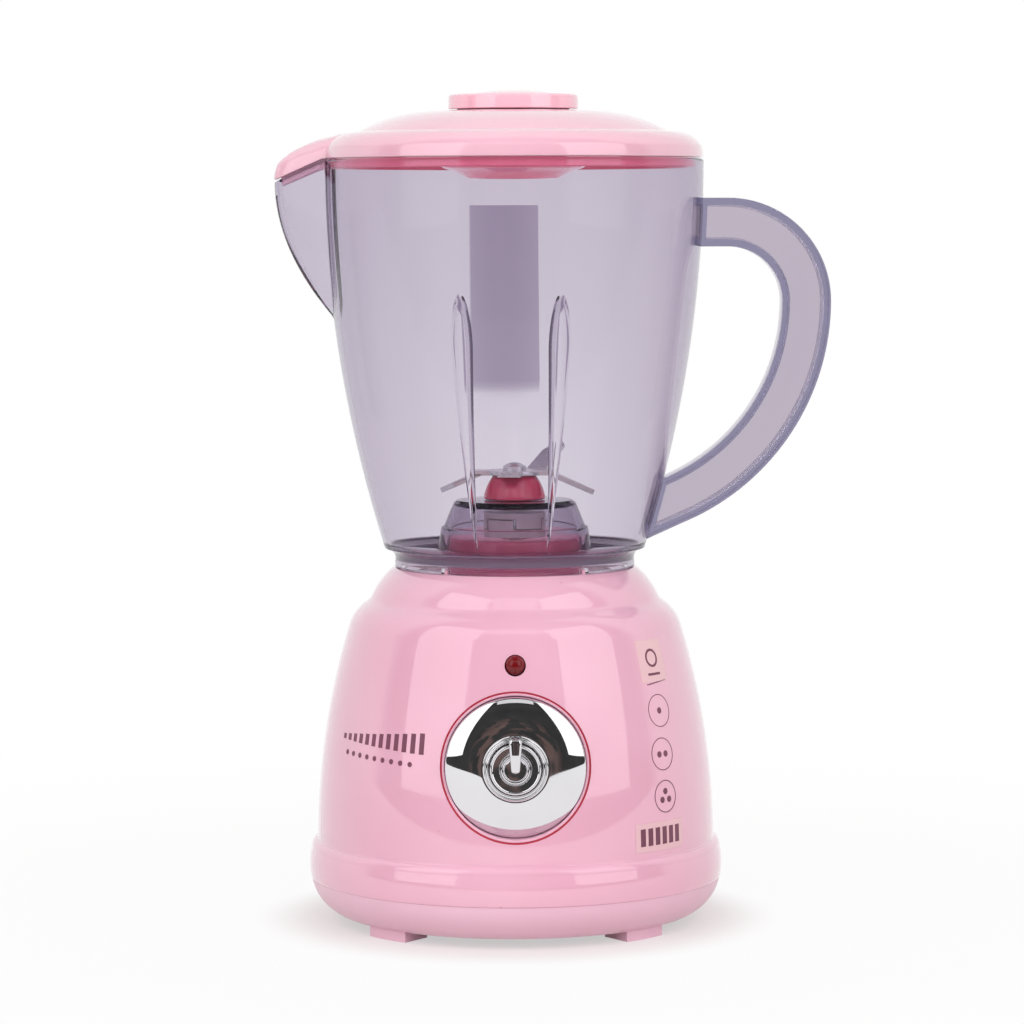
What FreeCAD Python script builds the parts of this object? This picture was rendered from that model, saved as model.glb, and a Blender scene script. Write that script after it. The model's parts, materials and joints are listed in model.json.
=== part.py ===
"""Toy blender: battery base, clear jug with a spinning blade, lid and filler cap.

Millimetres. The origin is where the drive axis meets the floor, +Z is up, the dial faces -Y,
the spout points to -X and the handle to +X.
"""
import FreeCAD, Part
import math
import os
from FreeCAD import Vector

# Base housing
foot_height = 2.6           # feet below the bottom cover
cover_depth = 9.0           # from the feet up to the seam with the housing
flange_depth = 9.8          # flange round the foot of the housing, above the seam
seat_height = 92.0          # flat seat that the jug stands on
neck_height = 8.4           # from the foot of the neck to the seat
shoulder_height = 6.3       # from the top of the wall to the foot of the neck
flange_radius = 53.2
flange_step = 2.0           # flange stands proud of the wall
shoulder_width = 5.2
neck_flare = 6.2
seat_lip = 0.8              # seat beyond the jug's skirt
housing_wall = 2.2
seat_thickness = 2.4
drive_boss_radius = 17.8    # raised boss in the middle of the seat, at its foot
drive_boss_height = 7.6
drive_boss_wall = 2.0

# Bottom cover
cover_turn_up = 6.7         # width of the rounded edge round the flat underside
cover_floor = 2.2
foot_width = 9.0            # feet end where the flat underside ends
foot_angle = 16.0           # degrees that each foot pad covers
screw_angle = 20.0          # cover screws, degrees from the X axis
cover_screw_length = 22.0
spigot_height = 2.6
seam_clearance = 0.15

# Dial, knob and lamp
dial_height = 46.0
dial_recess_radius = 18.7
dial_recess_depth = 5.0     # below the wall at the height of the dial
dial_clearance = 0.35
dial_dome = 3.4             # how far the disc's face stands above its rim
dial_rim_thickness = 1.7
collar_radius = 8.2
collar_height = 1.2
knob_radius = 6.4
knob_clearance = 0.25
knob_height = 1.5           # knob's face above the collar
pointer_length = 9.1
pointer_width = 3.3
pointer_height = 2.2
pointer_tail = 0.9          # part of the bar below the middle of the knob
shaft_radius = 2.5
running_gap = 0.06          # radial clearance of every turning shaft in its bore
lamp_rise = 6.4             # from the top of the dial's recess to the middle of the lamp
lamp_radius = 2.5
lamp_length = 8.6
lamp_proud = 1.85           # tip of the lamp in front of the wall
lamp_flange = 0.45
lamp_pin_pitch = 2.54
lamp_pin_length = 6.0
switch_tab_pitch = 6.0
tab_length = 4.0

# Drive train
gear_module = 0.6
pinion_teeth = 10
spindle_teeth = 30
tooth_thinning = 0.08
gear_width = 4.0
gear_level = 66.0           # underside of the spindle gear
gear_plate_level = 60.0
gear_plate_thickness = 2.4
gear_plate_radius = 26.5
plate_post_ring = 22.0
plate_screw_length = 13.0
motor_screw_ring = 7.4
motor_tab_y = 6.0
spindle_radius = 1.5
motor_radius = 10.0
motor_flat = 15.0           # across the flats of the motor can
motor_can_length = 22.0
motor_cap_length = 4.0
motor_can_wall = 0.8
motor_shaft_radius = 1.0
coupler_radius = 8.0
coupler_plate = 1.5
dog_height = 2.6
dog_play = 6.0              # degrees of play between neighbouring dogs

# Batteries
cell_radius = 7.15
cell_length = 49.4
cell_nub = 1.0
cell_pitch = 15.2
bay_length = 57.4
bay_wall = 3.4
bay_play = 0.4
door_thickness = 2.0
door_clearance = 0.25
door_tab_length = 8.5
door_tab_width = 12.0
door_screw_length = 9.0
contact_sheet = 0.4
bay_tail = 4.5              # contact tabs above the inside of the bay's roof

# Jug
jug_lift_gap = 0.2          # play between the jug's skirt and its seat
jug_wall = 1.6
jug_floor_thickness = 2.0
jug_skirt_radius = 30.6
jug_skirt_height = 2.0
jug_heel_radius = 33.3      # where the rounded bottom edge meets the wall
jug_heel_rise = 5.0         # above the seat
jug_rim_radius = 49.0
jug_height = 105.0          # rim above the seat
jug_bow = 3.75              # how far the wall bows out between heel and rim
boss_clearance = 0.5        # between the jug's hollow boss and the base's drive boss
boss_headroom = 1.5         # above the driven half of the coupler
jug_boss_top_radius = 15.0
lug_size = 1.2              # lugs on the seat that enter notches in the jug's skirt
spout_reach = 61.6
spout_root_width = 9.5      # half width where the spout leaves the wall
spout_nose_radius = 3.5
spout_tail = 16.0           # how far the spout's form reaches back into the jug
spout_depth = 35.0
spout_rim_drop = 5.5        # the rim falls by this much towards the spout's tip
flute_angle = 15.8          # degrees either side of the front
flute_drop = 35.0           # top of the flutes below the rim
flute_width = 5.6
flute_depth = 2.0
pad_width = 18.9            # flat pad inside the back wall
pad_face_inset = 7.4        # face of the pad inside the rim's radius
pad_drop = 12.4             # top of the pad below the rim

# Handle
handle_width = 12.0
handle_band = 12.5          # height of the H-section, flange to flange
handle_flange = 1.9
handle_web = 2.6
handle_drop = 16.2          # middle of the band below the rim, where it leaves the wall
handle_top_run = 7.1        # straight run beyond the rim's radius
handle_top_radius = 20.0
handle_back_radius = 50.0
handle_back_turn = 61.0     # degrees
handle_pad = 1.2
glue_gap = 0.05

# Blade
blade_shaft_radius = 1.5
hub_foot_radius = 8.0
hub_top_radius = 5.0
hub_height = 6.2
hub_gap = 0.4
blade_thickness = 1.3
blade_plate_radius = 7.0
blade_arm_width = 6.0
blade_reach = 20.0

# Lid and filler cap
lid_gap = 0.3               # between the lid's edge and the jug's rim
lid_wall = 1.8
lid_ring_height = 6.8
lid_flat_radius = 40.2      # where the crown starts
crown_radius = 22.0
crown_height = 5.6
lid_skirt_clearance = 0.35
lid_skirt_wall = 1.5
lid_skirt_depth = 2.2       # below the jug's rim
well_radius = 20.4
well_floor_radius = 11.7
well_depth = 4.9            # below the jug's rim
filler_radius = 14.6
well_hole_radius = 9.0
cap_radius = 16.8
cap_height = 3.3
cap_dome = 1.6
cap_gap = 0.2
cap_skirt_clearance = 0.3
cap_skirt_depth = 6.4
cap_wall = 1.5
nose_height = 6.4           # top of the nose above the lid's edge, at its root
nose_tip_height = 2.0

# Screws and wires
screw_radius = 1.25
screw_head_radius = 2.6
screw_head_height = 1.8
pilot_spare = 3.0           # a bore goes this far beyond its screw's end
small_screw_radius = 0.9
post_radius = 3.4
thread_gap = 0.02
wire_radius = 0.55
wire_gap = 0.1
wire_bend = 8.0             # a wire runs straight for about this far before it turns


# Helpers

def bulge(start, end, bow):
    """Middle point of an arc from start to end; a positive bow lies to the right of the way."""
    run, rise = end[0] - start[0], end[1] - start[1]
    length = math.hypot(run, rise)
    return ((start[0] + end[0]) / 2 + bow * rise / length, (start[1] + end[1]) / 2 - bow * run / length)


def wire_from(steps, place):
    """Closed wire. The first step is a point; each later one is (a, b) or (a, b, bow) for an arc."""
    edges = []
    here = steps[0]
    for step in list(steps[1:]) + [steps[0]]:
        there = step[:2]
        if math.hypot(there[0] - here[0], there[1] - here[1]) > 1e-6:
            if len(step) == 3 and abs(step[2]) > 1e-6:
                middle = bulge(here, there, step[2])
                edges.append(Part.Arc(place(*here), place(*middle), place(*there)).toShape())
            else:
                edges.append(Part.LineSegment(place(*here), place(*there)).toShape())
        here = there
    return Part.Wire(edges)


def dome(radius, low, high):
    """Step that ends on the axis with a spherical cap from radius at low to the pole at high."""
    rise = high - low
    ball = (radius ** 2 + rise ** 2) / (2 * rise)
    return (0, high, ball - math.sqrt(ball ** 2 - (radius ** 2 + rise ** 2) / 4))


def turned(*steps):
    """Solid of revolution about the Z axis from (radius, height) steps."""
    face = Part.Face(wire_from(steps, lambda radius, height: Vector(radius, 0, height)))
    return face.revolve(Vector(0, 0, 0), Vector(0, 0, 1), 360)


def turned_forward(height, *steps):
    """Solid of revolution about the line y at that height, from (radius, distance forwards) steps."""
    solid = turned(*steps)
    solid.rotate(Vector(0, 0, 0), Vector(1, 0, 0), 90)
    solid.translate(Vector(0, 0, height))
    return solid


def side_slab(half_width, *steps):
    """Plate with its outline in the XZ plane, half_width thick either side of it."""
    face = Part.Face(wire_from(steps, lambda x, z: Vector(x, -half_width, z)))
    return face.extrude(Vector(0, 2 * half_width, 0))


def flat_slab(low, high, *steps):
    """Plate with its outline in the XY plane, between two heights."""
    face = Part.Face(wire_from(steps, lambda x, y: Vector(x, y, low)))
    return face.extrude(Vector(0, 0, high - low))


def rod(radius, low, high, x=0.0, y=0.0):
    return Part.makeCylinder(radius, high - low, Vector(x, y, low))


def ring(outer, inner, low, high, x=0.0, y=0.0):
    return rod(outer, low, high, x, y).cut(rod(inner, low - 1, high + 1, x, y))


def rod_forward(radius, back, front, height, x=0.0):
    """Cylinder along -Y between two distances forwards from the axis."""
    return Part.makeCylinder(radius, front - back, Vector(x, -back, height), Vector(0, -1, 0))


def block(x0, x1, y0, y1, z0, z1):
    return Part.makeBox(x1 - x0, y1 - y0, z1 - z0, Vector(x0, y0, z0))


def joined(first, *others):
    solid = first.multiFuse(list(others)) if others else first
    return solid.removeSplitter()


def polar(radius, degrees):
    angle = math.radians(degrees)
    return radius * math.cos(angle), radius * math.sin(angle)


def spun(shape, degrees, centre=(0.0, 0.0)):
    copy = shape.copy()
    copy.rotate(Vector(centre[0], centre[1], 0), Vector(0, 0, 1), degrees)
    return copy


def pipe(points, radius):
    """Round wire along straight runs, with each corner rounded as far as its runs allow."""
    stops = [Vector(*point) for point in points]
    edges = []
    here = stops[0]
    for before, corner, after in zip(stops, stops[1:], stops[2:]):
        way_in = (corner - before).normalize()
        way_out = (after - corner).normalize()
        reach = 0.45 * min((corner - before).Length, (after - corner).Length)
        turn = way_in.getAngle(way_out)
        arc_radius = reach / math.tan(turn / 2)
        start, end = corner - way_in * reach, corner + way_out * reach
        inward = (way_out - way_in).normalize()
        middle = corner + inward * (arc_radius / math.cos(turn / 2) - arc_radius)
        edges += [Part.LineSegment(here, start).toShape(), Part.Arc(start, middle, end).toShape()]
        here = end
    edges.append(Part.LineSegment(here, stops[-1]).toShape())
    path = Part.Wire(edges)
    section = Part.Wire(Part.makeCircle(radius, stops[0], stops[1] - stops[0]))
    return path.makePipeShell([section], True, True)


def screw(length, x, y, head_level, pointing, radius=screw_radius, head=screw_head_radius,
          head_height=screw_head_height):
    """Pan-head screw; pointing is +1 when its shank goes up from the head and -1 when it goes down."""
    parts = [Part.makeCylinder(head, head_height, Vector(x, y, head_level), Vector(0, 0, pointing)),
             Part.makeCylinder(radius, length, Vector(x, y, head_level), Vector(0, 0, pointing))]
    slot_low = head_level if pointing > 0 else head_level - head_height * 0.4
    slot = block(x - head, x + head, y - 0.3, y + 0.3, slot_low, slot_low + head_height * 0.4)
    return joined(*parts).cut(slot)


nodes = {}


# Shared shapes of the base

seam_height = foot_height + cover_depth
flange_top = seam_height + flange_depth
neck_foot_height = seat_height - neck_height
shoulder_level = neck_foot_height - shoulder_height
wall_foot_radius = flange_radius - flange_step
seat_radius = jug_skirt_radius + seat_lip
neck_foot_radius = seat_radius + neck_flare
shoulder_radius = neck_foot_radius + shoulder_width
cover_flat_radius = flange_radius - cover_turn_up
foot_ring_radius = cover_flat_radius - foot_width / 2
screw_ring_radius = foot_ring_radius
cover_top = foot_height + cover_floor
inner_flange_radius = flange_radius - housing_wall
spigot_radius = inner_flange_radius - seam_clearance
wall_bow, shoulder_bow, neck_bow = 2.1, 0.8, 0.7
boss_top = seat_height + drive_boss_height
boss_slope = 0.12           # taper of the drive boss, radius lost per height
lug_angles = (-125, -55, 55, 125)


def housing_outline(inset, top):
    """Outer wall from the flange top to the seat, drawn inset by a wall thickness."""
    return [(wall_foot_radius - inset, flange_top),
            (shoulder_radius - inset, shoulder_level, wall_bow),
            (neck_foot_radius - inset, neck_foot_height, shoulder_bow),
            (seat_radius - inset, top, neck_bow), (0, top)]


def outer_housing():
    steps = [(0, seam_height), (flange_radius, seam_height),
             (flange_radius - 0.3, flange_top - 1.6, 0.5),
             (wall_foot_radius + 0.6, flange_top, 0.5)]
    return turned(*steps, *housing_outline(0, seat_height))


def inner_housing():
    steps = [(0, seam_height), (inner_flange_radius, seam_height),
             (inner_flange_radius, flange_top - housing_wall)]
    return turned(*steps, *housing_outline(housing_wall, seat_height - seat_thickness))


def housing_radius(height):
    """Radius of the housing's wall at a height."""
    share = (height - flange_top) / (shoulder_level - flange_top)
    straight = wall_foot_radius + (shoulder_radius - wall_foot_radius) * share
    return straight + wall_bow * (1 - (2 * share - 1) ** 2)


# Knob stack, distances forwards from the axis
lamp_height = dial_height + dial_recess_radius + lamp_rise
dial_recess_y = housing_radius(dial_height) - dial_recess_depth
dial_face = dial_recess_y + dial_rim_thickness + dial_dome
collar_face = dial_face + collar_height
knob_face = collar_face + knob_height
knob_pocket = dial_recess_y + dial_rim_thickness
recess_back = dial_recess_y - housing_wall
switch_depth = 8.0
switch_front = recess_back
switch_back = switch_front - switch_depth
switch_wall = 1.6
switch_half = 9.0
rotor_radius = 6.2
rotor_thickness = 2.4
rotor_front = switch_front - 0.5
rotor_back = rotor_front - rotor_thickness
ear_level = 3.8             # switch ears sit on pillars this long
ear_thickness = 1.5
ear_reach = 15.0
lamp_tip = housing_radius(lamp_height) + lamp_proud
lamp_back = lamp_tip - lamp_length
lamp_boss_radius = 4.6
lamp_counterbore = 3.1
lamp_boss_back = lamp_back - 1.6

# Drive levels
pinion_pitch = gear_module * pinion_teeth / 2
spindle_pitch = gear_module * spindle_teeth / 2
gear_distance = pinion_pitch + spindle_pitch
plate_top = gear_plate_level + gear_plate_thickness
post_angles = (35, 145, 270)
bush_wall = 1.6
bush_radius = spindle_radius + running_gap + bush_wall
bush_flange = 1.3
coupler_foot = boss_top + 0.5
coupler_dog_foot = coupler_foot + coupler_plate
driven_foot = coupler_dog_foot + dog_height + 0.3
driven_top = driven_foot + coupler_plate
jug_boss_top = driven_top + boss_headroom + jug_wall
motor_top = gear_plate_level
motor_can_foot = motor_top - motor_can_length
motor_cap_foot = motor_can_foot - motor_cap_length
motor_x = -gear_distance

# Battery bay
bay_half_y = cell_pitch / 2 + cell_radius + bay_play
bay_half_x = bay_length / 2
bay_outer_x = bay_half_x + bay_wall
bay_outer_y = bay_half_y + bay_wall
cell_level = cover_top + bay_play + cell_radius
bay_roof = cell_level + cell_radius + bay_play + 1.0
bay_roof_wall = 1.6
door_half_x = bay_half_x + bay_wall / 2
door_half_y = bay_half_y + bay_wall / 2
door_screw_x = door_half_x + door_tab_length - 4.2
door_pivot_x = -door_half_x - door_clearance / 2
tongue_half = 3.0
tongue_y = 12.0
tongue_reach = 1.5
tongue_low = cover_top + 0.2
tongue_high = tongue_low + 1.3
door_screw_boss = 4.6
door_screw_play = 0.8


# Screw ends and the bores that take them
cover_bore_top = cover_top + cover_screw_length + pilot_spare
cover_post_top = cover_bore_top + pilot_spare
plate_screw_foot = gear_plate_level - screw_head_height
plate_bore_top = plate_screw_foot + plate_screw_length + pilot_spare
door_screw_foot = foot_height + 0.2
door_bore_top = door_screw_foot + door_screw_length + 1.6


def screw_places():
    return [polar(screw_ring_radius, angle)
            for angle in (screw_angle, 180 - screw_angle, 180 + screw_angle, -screw_angle)]


def post_places():
    return [polar(plate_post_ring, angle) for angle in post_angles]


def upper_housing():
    outer = outer_housing()
    boss_foot = seat_height - seat_thickness
    boss = turned((0, boss_foot), (drive_boss_radius + boss_slope * seat_thickness, boss_foot),
                  (drive_boss_radius - boss_slope * (drive_boss_height - 1), boss_top - 1),
                  (drive_boss_radius - boss_slope * drive_boss_height - 1, boss_top, 0.3), (0, boss_top))
    boss_hollow_top = boss_top - drive_boss_wall
    boss_hollow = turned((0, boss_foot - 1), (drive_boss_radius - drive_boss_wall, boss_foot - 1),
                         (drive_boss_radius - drive_boss_wall - 1, boss_hollow_top), (0, boss_hollow_top))
    shell = outer.cut(inner_housing())
    # posts that stay inside the outer skin
    cup = rod_forward(dial_recess_radius + housing_wall, recess_back, flange_radius, dial_height)
    lamp_boss = rod_forward(lamp_boss_radius, lamp_boss_back, lamp_tip, lamp_height)
    grown = [cup, lamp_boss]
    for x, y in screw_places():
        angle = math.degrees(math.atan2(y, x))
        grown.append(rod(post_radius, seam_height + 0.8, cover_post_top, x, y))
        rib = block(screw_ring_radius, wall_foot_radius - 1, -1, 1, seam_height + 4, cover_post_top)
        grown.append(spun(rib, angle))
    inside = [piece.common(outer) for piece in grown]
    for x, y in post_places():
        inside.append(rod(post_radius, plate_top, seat_height - seat_thickness / 2, x, y))
    for side in (-1, 1):
        inside.append(rod_forward(2.6, recess_back - ear_level, recess_back + 0.5, dial_height,
                                  side * ear_reach))
    # lugs on the seat that keep the jug from turning
    for angle in lug_angles:
        lug = block(jug_skirt_radius - jug_wall + 0.3, jug_skirt_radius - 0.2, -lug_size / 2, lug_size / 2,
                    seat_height - 0.5, seat_height + lug_size)
        inside.append(spun(lug, angle))
    body = joined(shell, boss, *inside)
    cuts = [boss_hollow, rod(bush_radius + thread_gap, seat_height, boss_top + 1),
            rod_forward(dial_recess_radius, dial_recess_y, flange_radius + 1, dial_height),
            rod_forward(shaft_radius + 0.5, recess_back - 1, dial_recess_y + 1, dial_height),
            rod_forward(lamp_radius + 0.15, lamp_boss_back - 1, flange_radius, lamp_height),
            rod_forward(lamp_counterbore, lamp_boss_back - 1, lamp_back + 1.0, lamp_height)]
    for x, y in screw_places():
        cuts.append(rod(screw_radius + thread_gap, seam_height, cover_bore_top, x, y))
    for x, y in post_places():
        cuts.append(rod(screw_radius + thread_gap, plate_top - 1, plate_bore_top, x, y))
    for side in (-1, 1):
        cuts.append(rod_forward(small_screw_radius + thread_gap, recess_back - ear_level - 1,
                                recess_back - 0.4, dial_height, side * ear_reach))
    nodes["upper_housing"] = body.cut(cuts[0].multiFuse(cuts[1:]))


def bottom_cover():
    outer = turned((0, foot_height), (cover_flat_radius, foot_height),
                   (flange_radius, seam_height, 1.5), (0, seam_height))
    hollow = turned((0, cover_top), (cover_flat_radius - housing_wall + 0.6, cover_top),
                    (spigot_radius - housing_wall + 0.4, seam_height, 1.5), (0, seam_height))
    shell = outer.cut(hollow)
    spigot = ring(spigot_radius, spigot_radius - 1.8, seam_height - 1.5, seam_height + spigot_height)
    bay = block(-bay_outer_x, bay_outer_x, -bay_outer_y, bay_outer_y, cover_top - 0.5,
                bay_roof + bay_roof_wall)
    tab_roof = block(bay_half_x, door_screw_x + 5.6, -door_tab_width / 2 - 2, door_tab_width / 2 + 2,
                     cover_top - 0.5, cover_top + 2)
    screw_boss = rod(door_screw_boss, cover_top - 0.1, door_bore_top + 1.4, door_screw_x, 0)
    parts = [spigot, bay, tab_roof, screw_boss]
    for x, y in screw_places():
        parts.append(rod(4.8, cover_top - 0.5, seam_height + 0.6, x, y))
    for quarter in range(4):
        pad = ring(foot_ring_radius + foot_width / 2, foot_ring_radius - foot_width / 2, 0,
                   foot_height + 0.6)
        reach = foot_ring_radius + foot_width
        half = math.radians(foot_angle / 2)
        wedge = flat_slab(-1, foot_height + 2, (0, 0), (reach, -reach * math.tan(half)),
                          (reach, reach * math.tan(half)))
        parts.append(spun(pad.common(wedge), 45 + 90 * quarter))
    body = joined(shell, *parts)
    cell_space = block(-bay_half_x, bay_half_x, -bay_half_y, bay_half_y, cover_top - 1, bay_roof)
    door_space = door_plate(door_clearance, foot_height - 1, cover_top)
    cuts = [cell_space, door_space,
            rod(screw_radius + door_screw_play, cover_top - 1, door_bore_top, door_screw_x, 0)]
    for x, y in screw_places():
        cuts.append(rod(screw_head_radius + 0.5, foot_height - 1, cover_top + 1.8, x, y))
        cuts.append(rod(screw_radius + 0.4, foot_height - 1, seam_height + 3, x, y))
    for side in (-1, 1):
        swing = Part.makeCylinder(tongue_high - foot_height + 1.0, 2 * tongue_half + 1,
                                  Vector(door_pivot_x, side * tongue_y - tongue_half - 0.5, foot_height),
                                  Vector(0, 1, 0))
        cuts.append(swing.common(block(-90, 90, -90, 90, cover_top, 60)))
        # slots in the roof for the contact tabs
        cuts.append(block(bay_half_x - 1.6, bay_half_x, side * cell_pitch / 2 - 2.4,
                          side * cell_pitch / 2 + 2.4, bay_roof - 1, bay_roof + bay_roof_wall + 1))
    nodes["bottom_cover"] = body.cut(cuts[0].multiFuse(cuts[1:]))


def door_plate(grown, low, high):
    """Outline of the battery door with its round-ended screw tab, grown by a clearance."""
    half_x, half_y = door_half_x + grown, door_half_y + grown
    half_tab = door_tab_width / 2 + grown
    end_x = door_screw_x + grown
    return flat_slab(low, high, (-half_x, -half_y), (half_x, -half_y), (half_x, -half_tab),
                     (end_x, -half_tab), (end_x, half_tab, half_tab * 0.62), (half_x, half_tab),
                     (half_x, half_y), (-half_x, half_y))


def battery_door():
    plate = door_plate(0, foot_height, foot_height + door_thickness)
    parts = []
    for side in (-1, 1):
        y = side * tongue_y
        tongue = block(-door_half_x - tongue_reach, -door_half_x + 1.6, y - tongue_half, y + tongue_half,
                       tongue_low, tongue_high)
        stem = block(-door_half_x + 0.5, -door_half_x + 1.6, y - tongue_half, y + tongue_half,
                     foot_height + 1, tongue_high)
        parts += [tongue, stem]
    # grip bars across the outside
    grips = [block(-door_half_x + 8 + 2.4 * row, -door_half_x + 9 + 2.4 * row, -9, 9, foot_height - 1,
                   foot_height + 0.5) for row in range(4)]
    holes = [rod(screw_radius + 0.15, foot_height - 1, cover_top + 1, door_screw_x, 0),
             rod(screw_head_radius + 0.2, foot_height - 1, foot_height + 0.9, door_screw_x, 0)]
    solid = joined(plate, *parts)
    nodes["battery_door"] = solid.cut(holes[0].multiFuse(holes[1:] + grips))
    nodes["door_screw"] = screw(door_screw_length, door_screw_x, 0, door_screw_foot, 1, head_height=0.7)


def base_fasteners():
    screws = [screw(cover_screw_length, x, y, cover_top, 1) for x, y in screw_places()]
    nodes["housing_screws"] = Part.makeCompound(screws)
    plate_screws = [screw(plate_screw_length, x, y, plate_screw_foot, 1) for x, y in post_places()]
    nodes["gear_plate_screws"] = Part.makeCompound(plate_screws)
    switch_screws = []
    ear_back = recess_back - ear_level - ear_thickness
    for side in (-1, 1):
        head = rod_forward(1.8, ear_back - 1.2, ear_back, dial_height, side * ear_reach)
        shank = rod_forward(small_screw_radius, ear_back, recess_back - 0.8, dial_height, side * ear_reach)
        switch_screws.append(joined(head, shank))
    nodes["switch_screws"] = Part.makeCompound(switch_screws)


def dial_and_knob():
    edge = dial_recess_radius - dial_clearance
    rim_front = dial_recess_y + dial_rim_thickness
    disc = turned_forward(dial_height, (0, dial_recess_y), (edge, dial_recess_y), (edge, rim_front - 1.2),
                          (edge - 1.3, rim_front + 0.3, 0.3),
                          (collar_radius + 0.7, dial_face - 0.1, 1.0),
                          (collar_radius, dial_face + 0.5), (collar_radius, collar_face - 0.3),
                          (collar_radius - 0.4, collar_face, 0.1), (0, collar_face))
    pocket = rod_forward(knob_radius + knob_clearance, knob_pocket, collar_face + 1, dial_height)
    bore = rod_forward(shaft_radius + 0.3, dial_recess_y - 1, collar_face, dial_height)
    nodes["dial_disc"] = disc.cut(pocket.fuse(bore))

    groove = 0.5
    knob = turned_forward(dial_height, (0, rotor_back), (shaft_radius, rotor_back),
                          (shaft_radius, knob_pocket + 0.3), (knob_radius, knob_pocket + 0.3),
                          (knob_radius, knob_face - 0.6), (knob_radius - 0.6, knob_face, 0.2),
                          (knob_radius - 1.4, knob_face), (knob_radius - 2.0, knob_face - groove, -0.1),
                          (knob_radius - 2.8, knob_face, -0.1), (0, knob_face))
    bar_top = dial_height + pointer_length - pointer_tail
    half = pointer_width / 2
    bar_face = Part.Face(wire_from([(-half * 0.62, dial_height - pointer_tail),
                                    (half * 0.62, dial_height - pointer_tail, half * 0.5),
                                    (half, bar_top - half), (-half, bar_top - half, half * 0.95)],
                                   lambda x, z: Vector(x, -knob_face + 0.4, z)))
    bar = bar_face.extrude(Vector(0, -pointer_height - 0.4, 0))
    bar = bar.makeChamfer(0.5, [edge for edge in bar.Edges
                                if abs(edge.CenterOfMass.y + knob_face + pointer_height) < 0.01])
    screw_hole = rod_forward(1.0, rotor_back - 1, rotor_back + 6, dial_height)
    nodes["selector_knob"] = joined(knob, bar).cut(screw_hole)

    rotor = rod_forward(rotor_radius, rotor_back, rotor_front, dial_height)
    rotor_edge = dial_height + rotor_radius
    cam = block(-2, 2, -rotor_front, -rotor_back, rotor_edge - 2, rotor_edge + 0.4)
    rotor_bore = rod_forward(shaft_radius + thread_gap, rotor_back - 1, rotor_front + 1, dial_height)
    nodes["switch_rotor"] = joined(rotor, cam).cut(rotor_bore)
    head = rod_forward(shaft_radius + 1.2, rotor_back - 1.2, rotor_back, dial_height)
    shank = rod_forward(1.0 - thread_gap, rotor_back, rotor_back + 5, dial_height)
    nodes["knob_screw"] = joined(head, shank)

    low, high = dial_height - switch_half, dial_height + switch_half
    body = block(-switch_half, switch_half, -switch_front, -switch_back, low, high)
    ears = block(-ear_reach - 3, ear_reach + 3, -(recess_back - ear_level),
                 -(recess_back - ear_level - ear_thickness), dial_height - 3, dial_height + 3)
    cavity = rod_forward(rotor_radius + 0.8, switch_back + switch_wall, switch_front + 1, dial_height)
    holes = [cavity] + [rod_forward(small_screw_radius + 0.1, switch_back, switch_front, dial_height,
                                    side * ear_reach) for side in (-1, 1)]
    nodes["switch_body"] = joined(body, ears).cut(holes[0].multiFuse(holes[1:]))
    tabs = [block(x - 1, x + 1, -switch_back, -switch_back + tab_length, dial_height - 1.7,
                  dial_height - 1.3) for x in (-switch_tab_pitch, 0, switch_tab_pitch)]
    nodes["switch_terminals"] = Part.makeCompound(tabs)


def lamp_parts():
    lens = turned_forward(lamp_height, (0, lamp_back), (lamp_radius + lamp_flange, lamp_back),
                          (lamp_radius + lamp_flange, lamp_back + 1), (lamp_radius, lamp_back + 1),
                          (lamp_radius, lamp_tip - lamp_radius),
                          dome(lamp_radius, lamp_tip - lamp_radius, lamp_tip))
    nodes["lamp"] = lens
    pins = [block(x - 0.25, x + 0.25, -lamp_back, -lamp_back + lamp_pin_length, lamp_height - 0.25,
                  lamp_height + 0.25) for x in (-lamp_pin_pitch / 2, lamp_pin_pitch / 2)]
    nodes["lamp_pins"] = Part.makeCompound(pins)
    holder = rod_forward(lamp_counterbore - thread_gap, lamp_boss_back, lamp_back, lamp_height)
    slot = block(-1.6, 1.6, -lamp_back - 1, -lamp_boss_back + 1, lamp_height - 0.4, lamp_height + 0.4)
    nodes["lamp_retainer"] = holder.cut(slot)


def gear_blank(teeth, addendum, level, width, phase):
    """Spur gear with involute flanks, its teeth thinned for backlash, turned by phase degrees."""
    pitch = gear_module * teeth / 2
    base = pitch * math.cos(math.radians(20))
    tip, root = pitch + addendum, pitch - 1.2 * gear_module
    half_tooth = math.pi / (2 * teeth) - tooth_thinning / (2 * pitch)
    involute = math.tan(math.radians(20)) - math.radians(20)

    def half_angle(radius):
        roll = math.sqrt(max((radius / base) ** 2 - 1, 0))
        return half_tooth + involute - (roll - math.atan(roll))

    flank = [max(base, root)] + [base + (tip - base) * share for share in (0.25, 0.5, 0.75, 1)]
    outline = []
    for tooth in range(teeth):
        middle = 2 * math.pi * tooth / teeth + math.radians(phase)
        side = [(root, half_angle(flank[0]))] + [(radius, half_angle(radius)) for radius in flank]
        points = [(radius, middle - angle) for radius, angle in side]
        points += [(radius, middle + angle) for radius, angle in reversed(side)]
        outline += [(radius * math.cos(angle), radius * math.sin(angle)) for radius, angle in points]
    return flat_slab(level, level + width, *outline)


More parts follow.
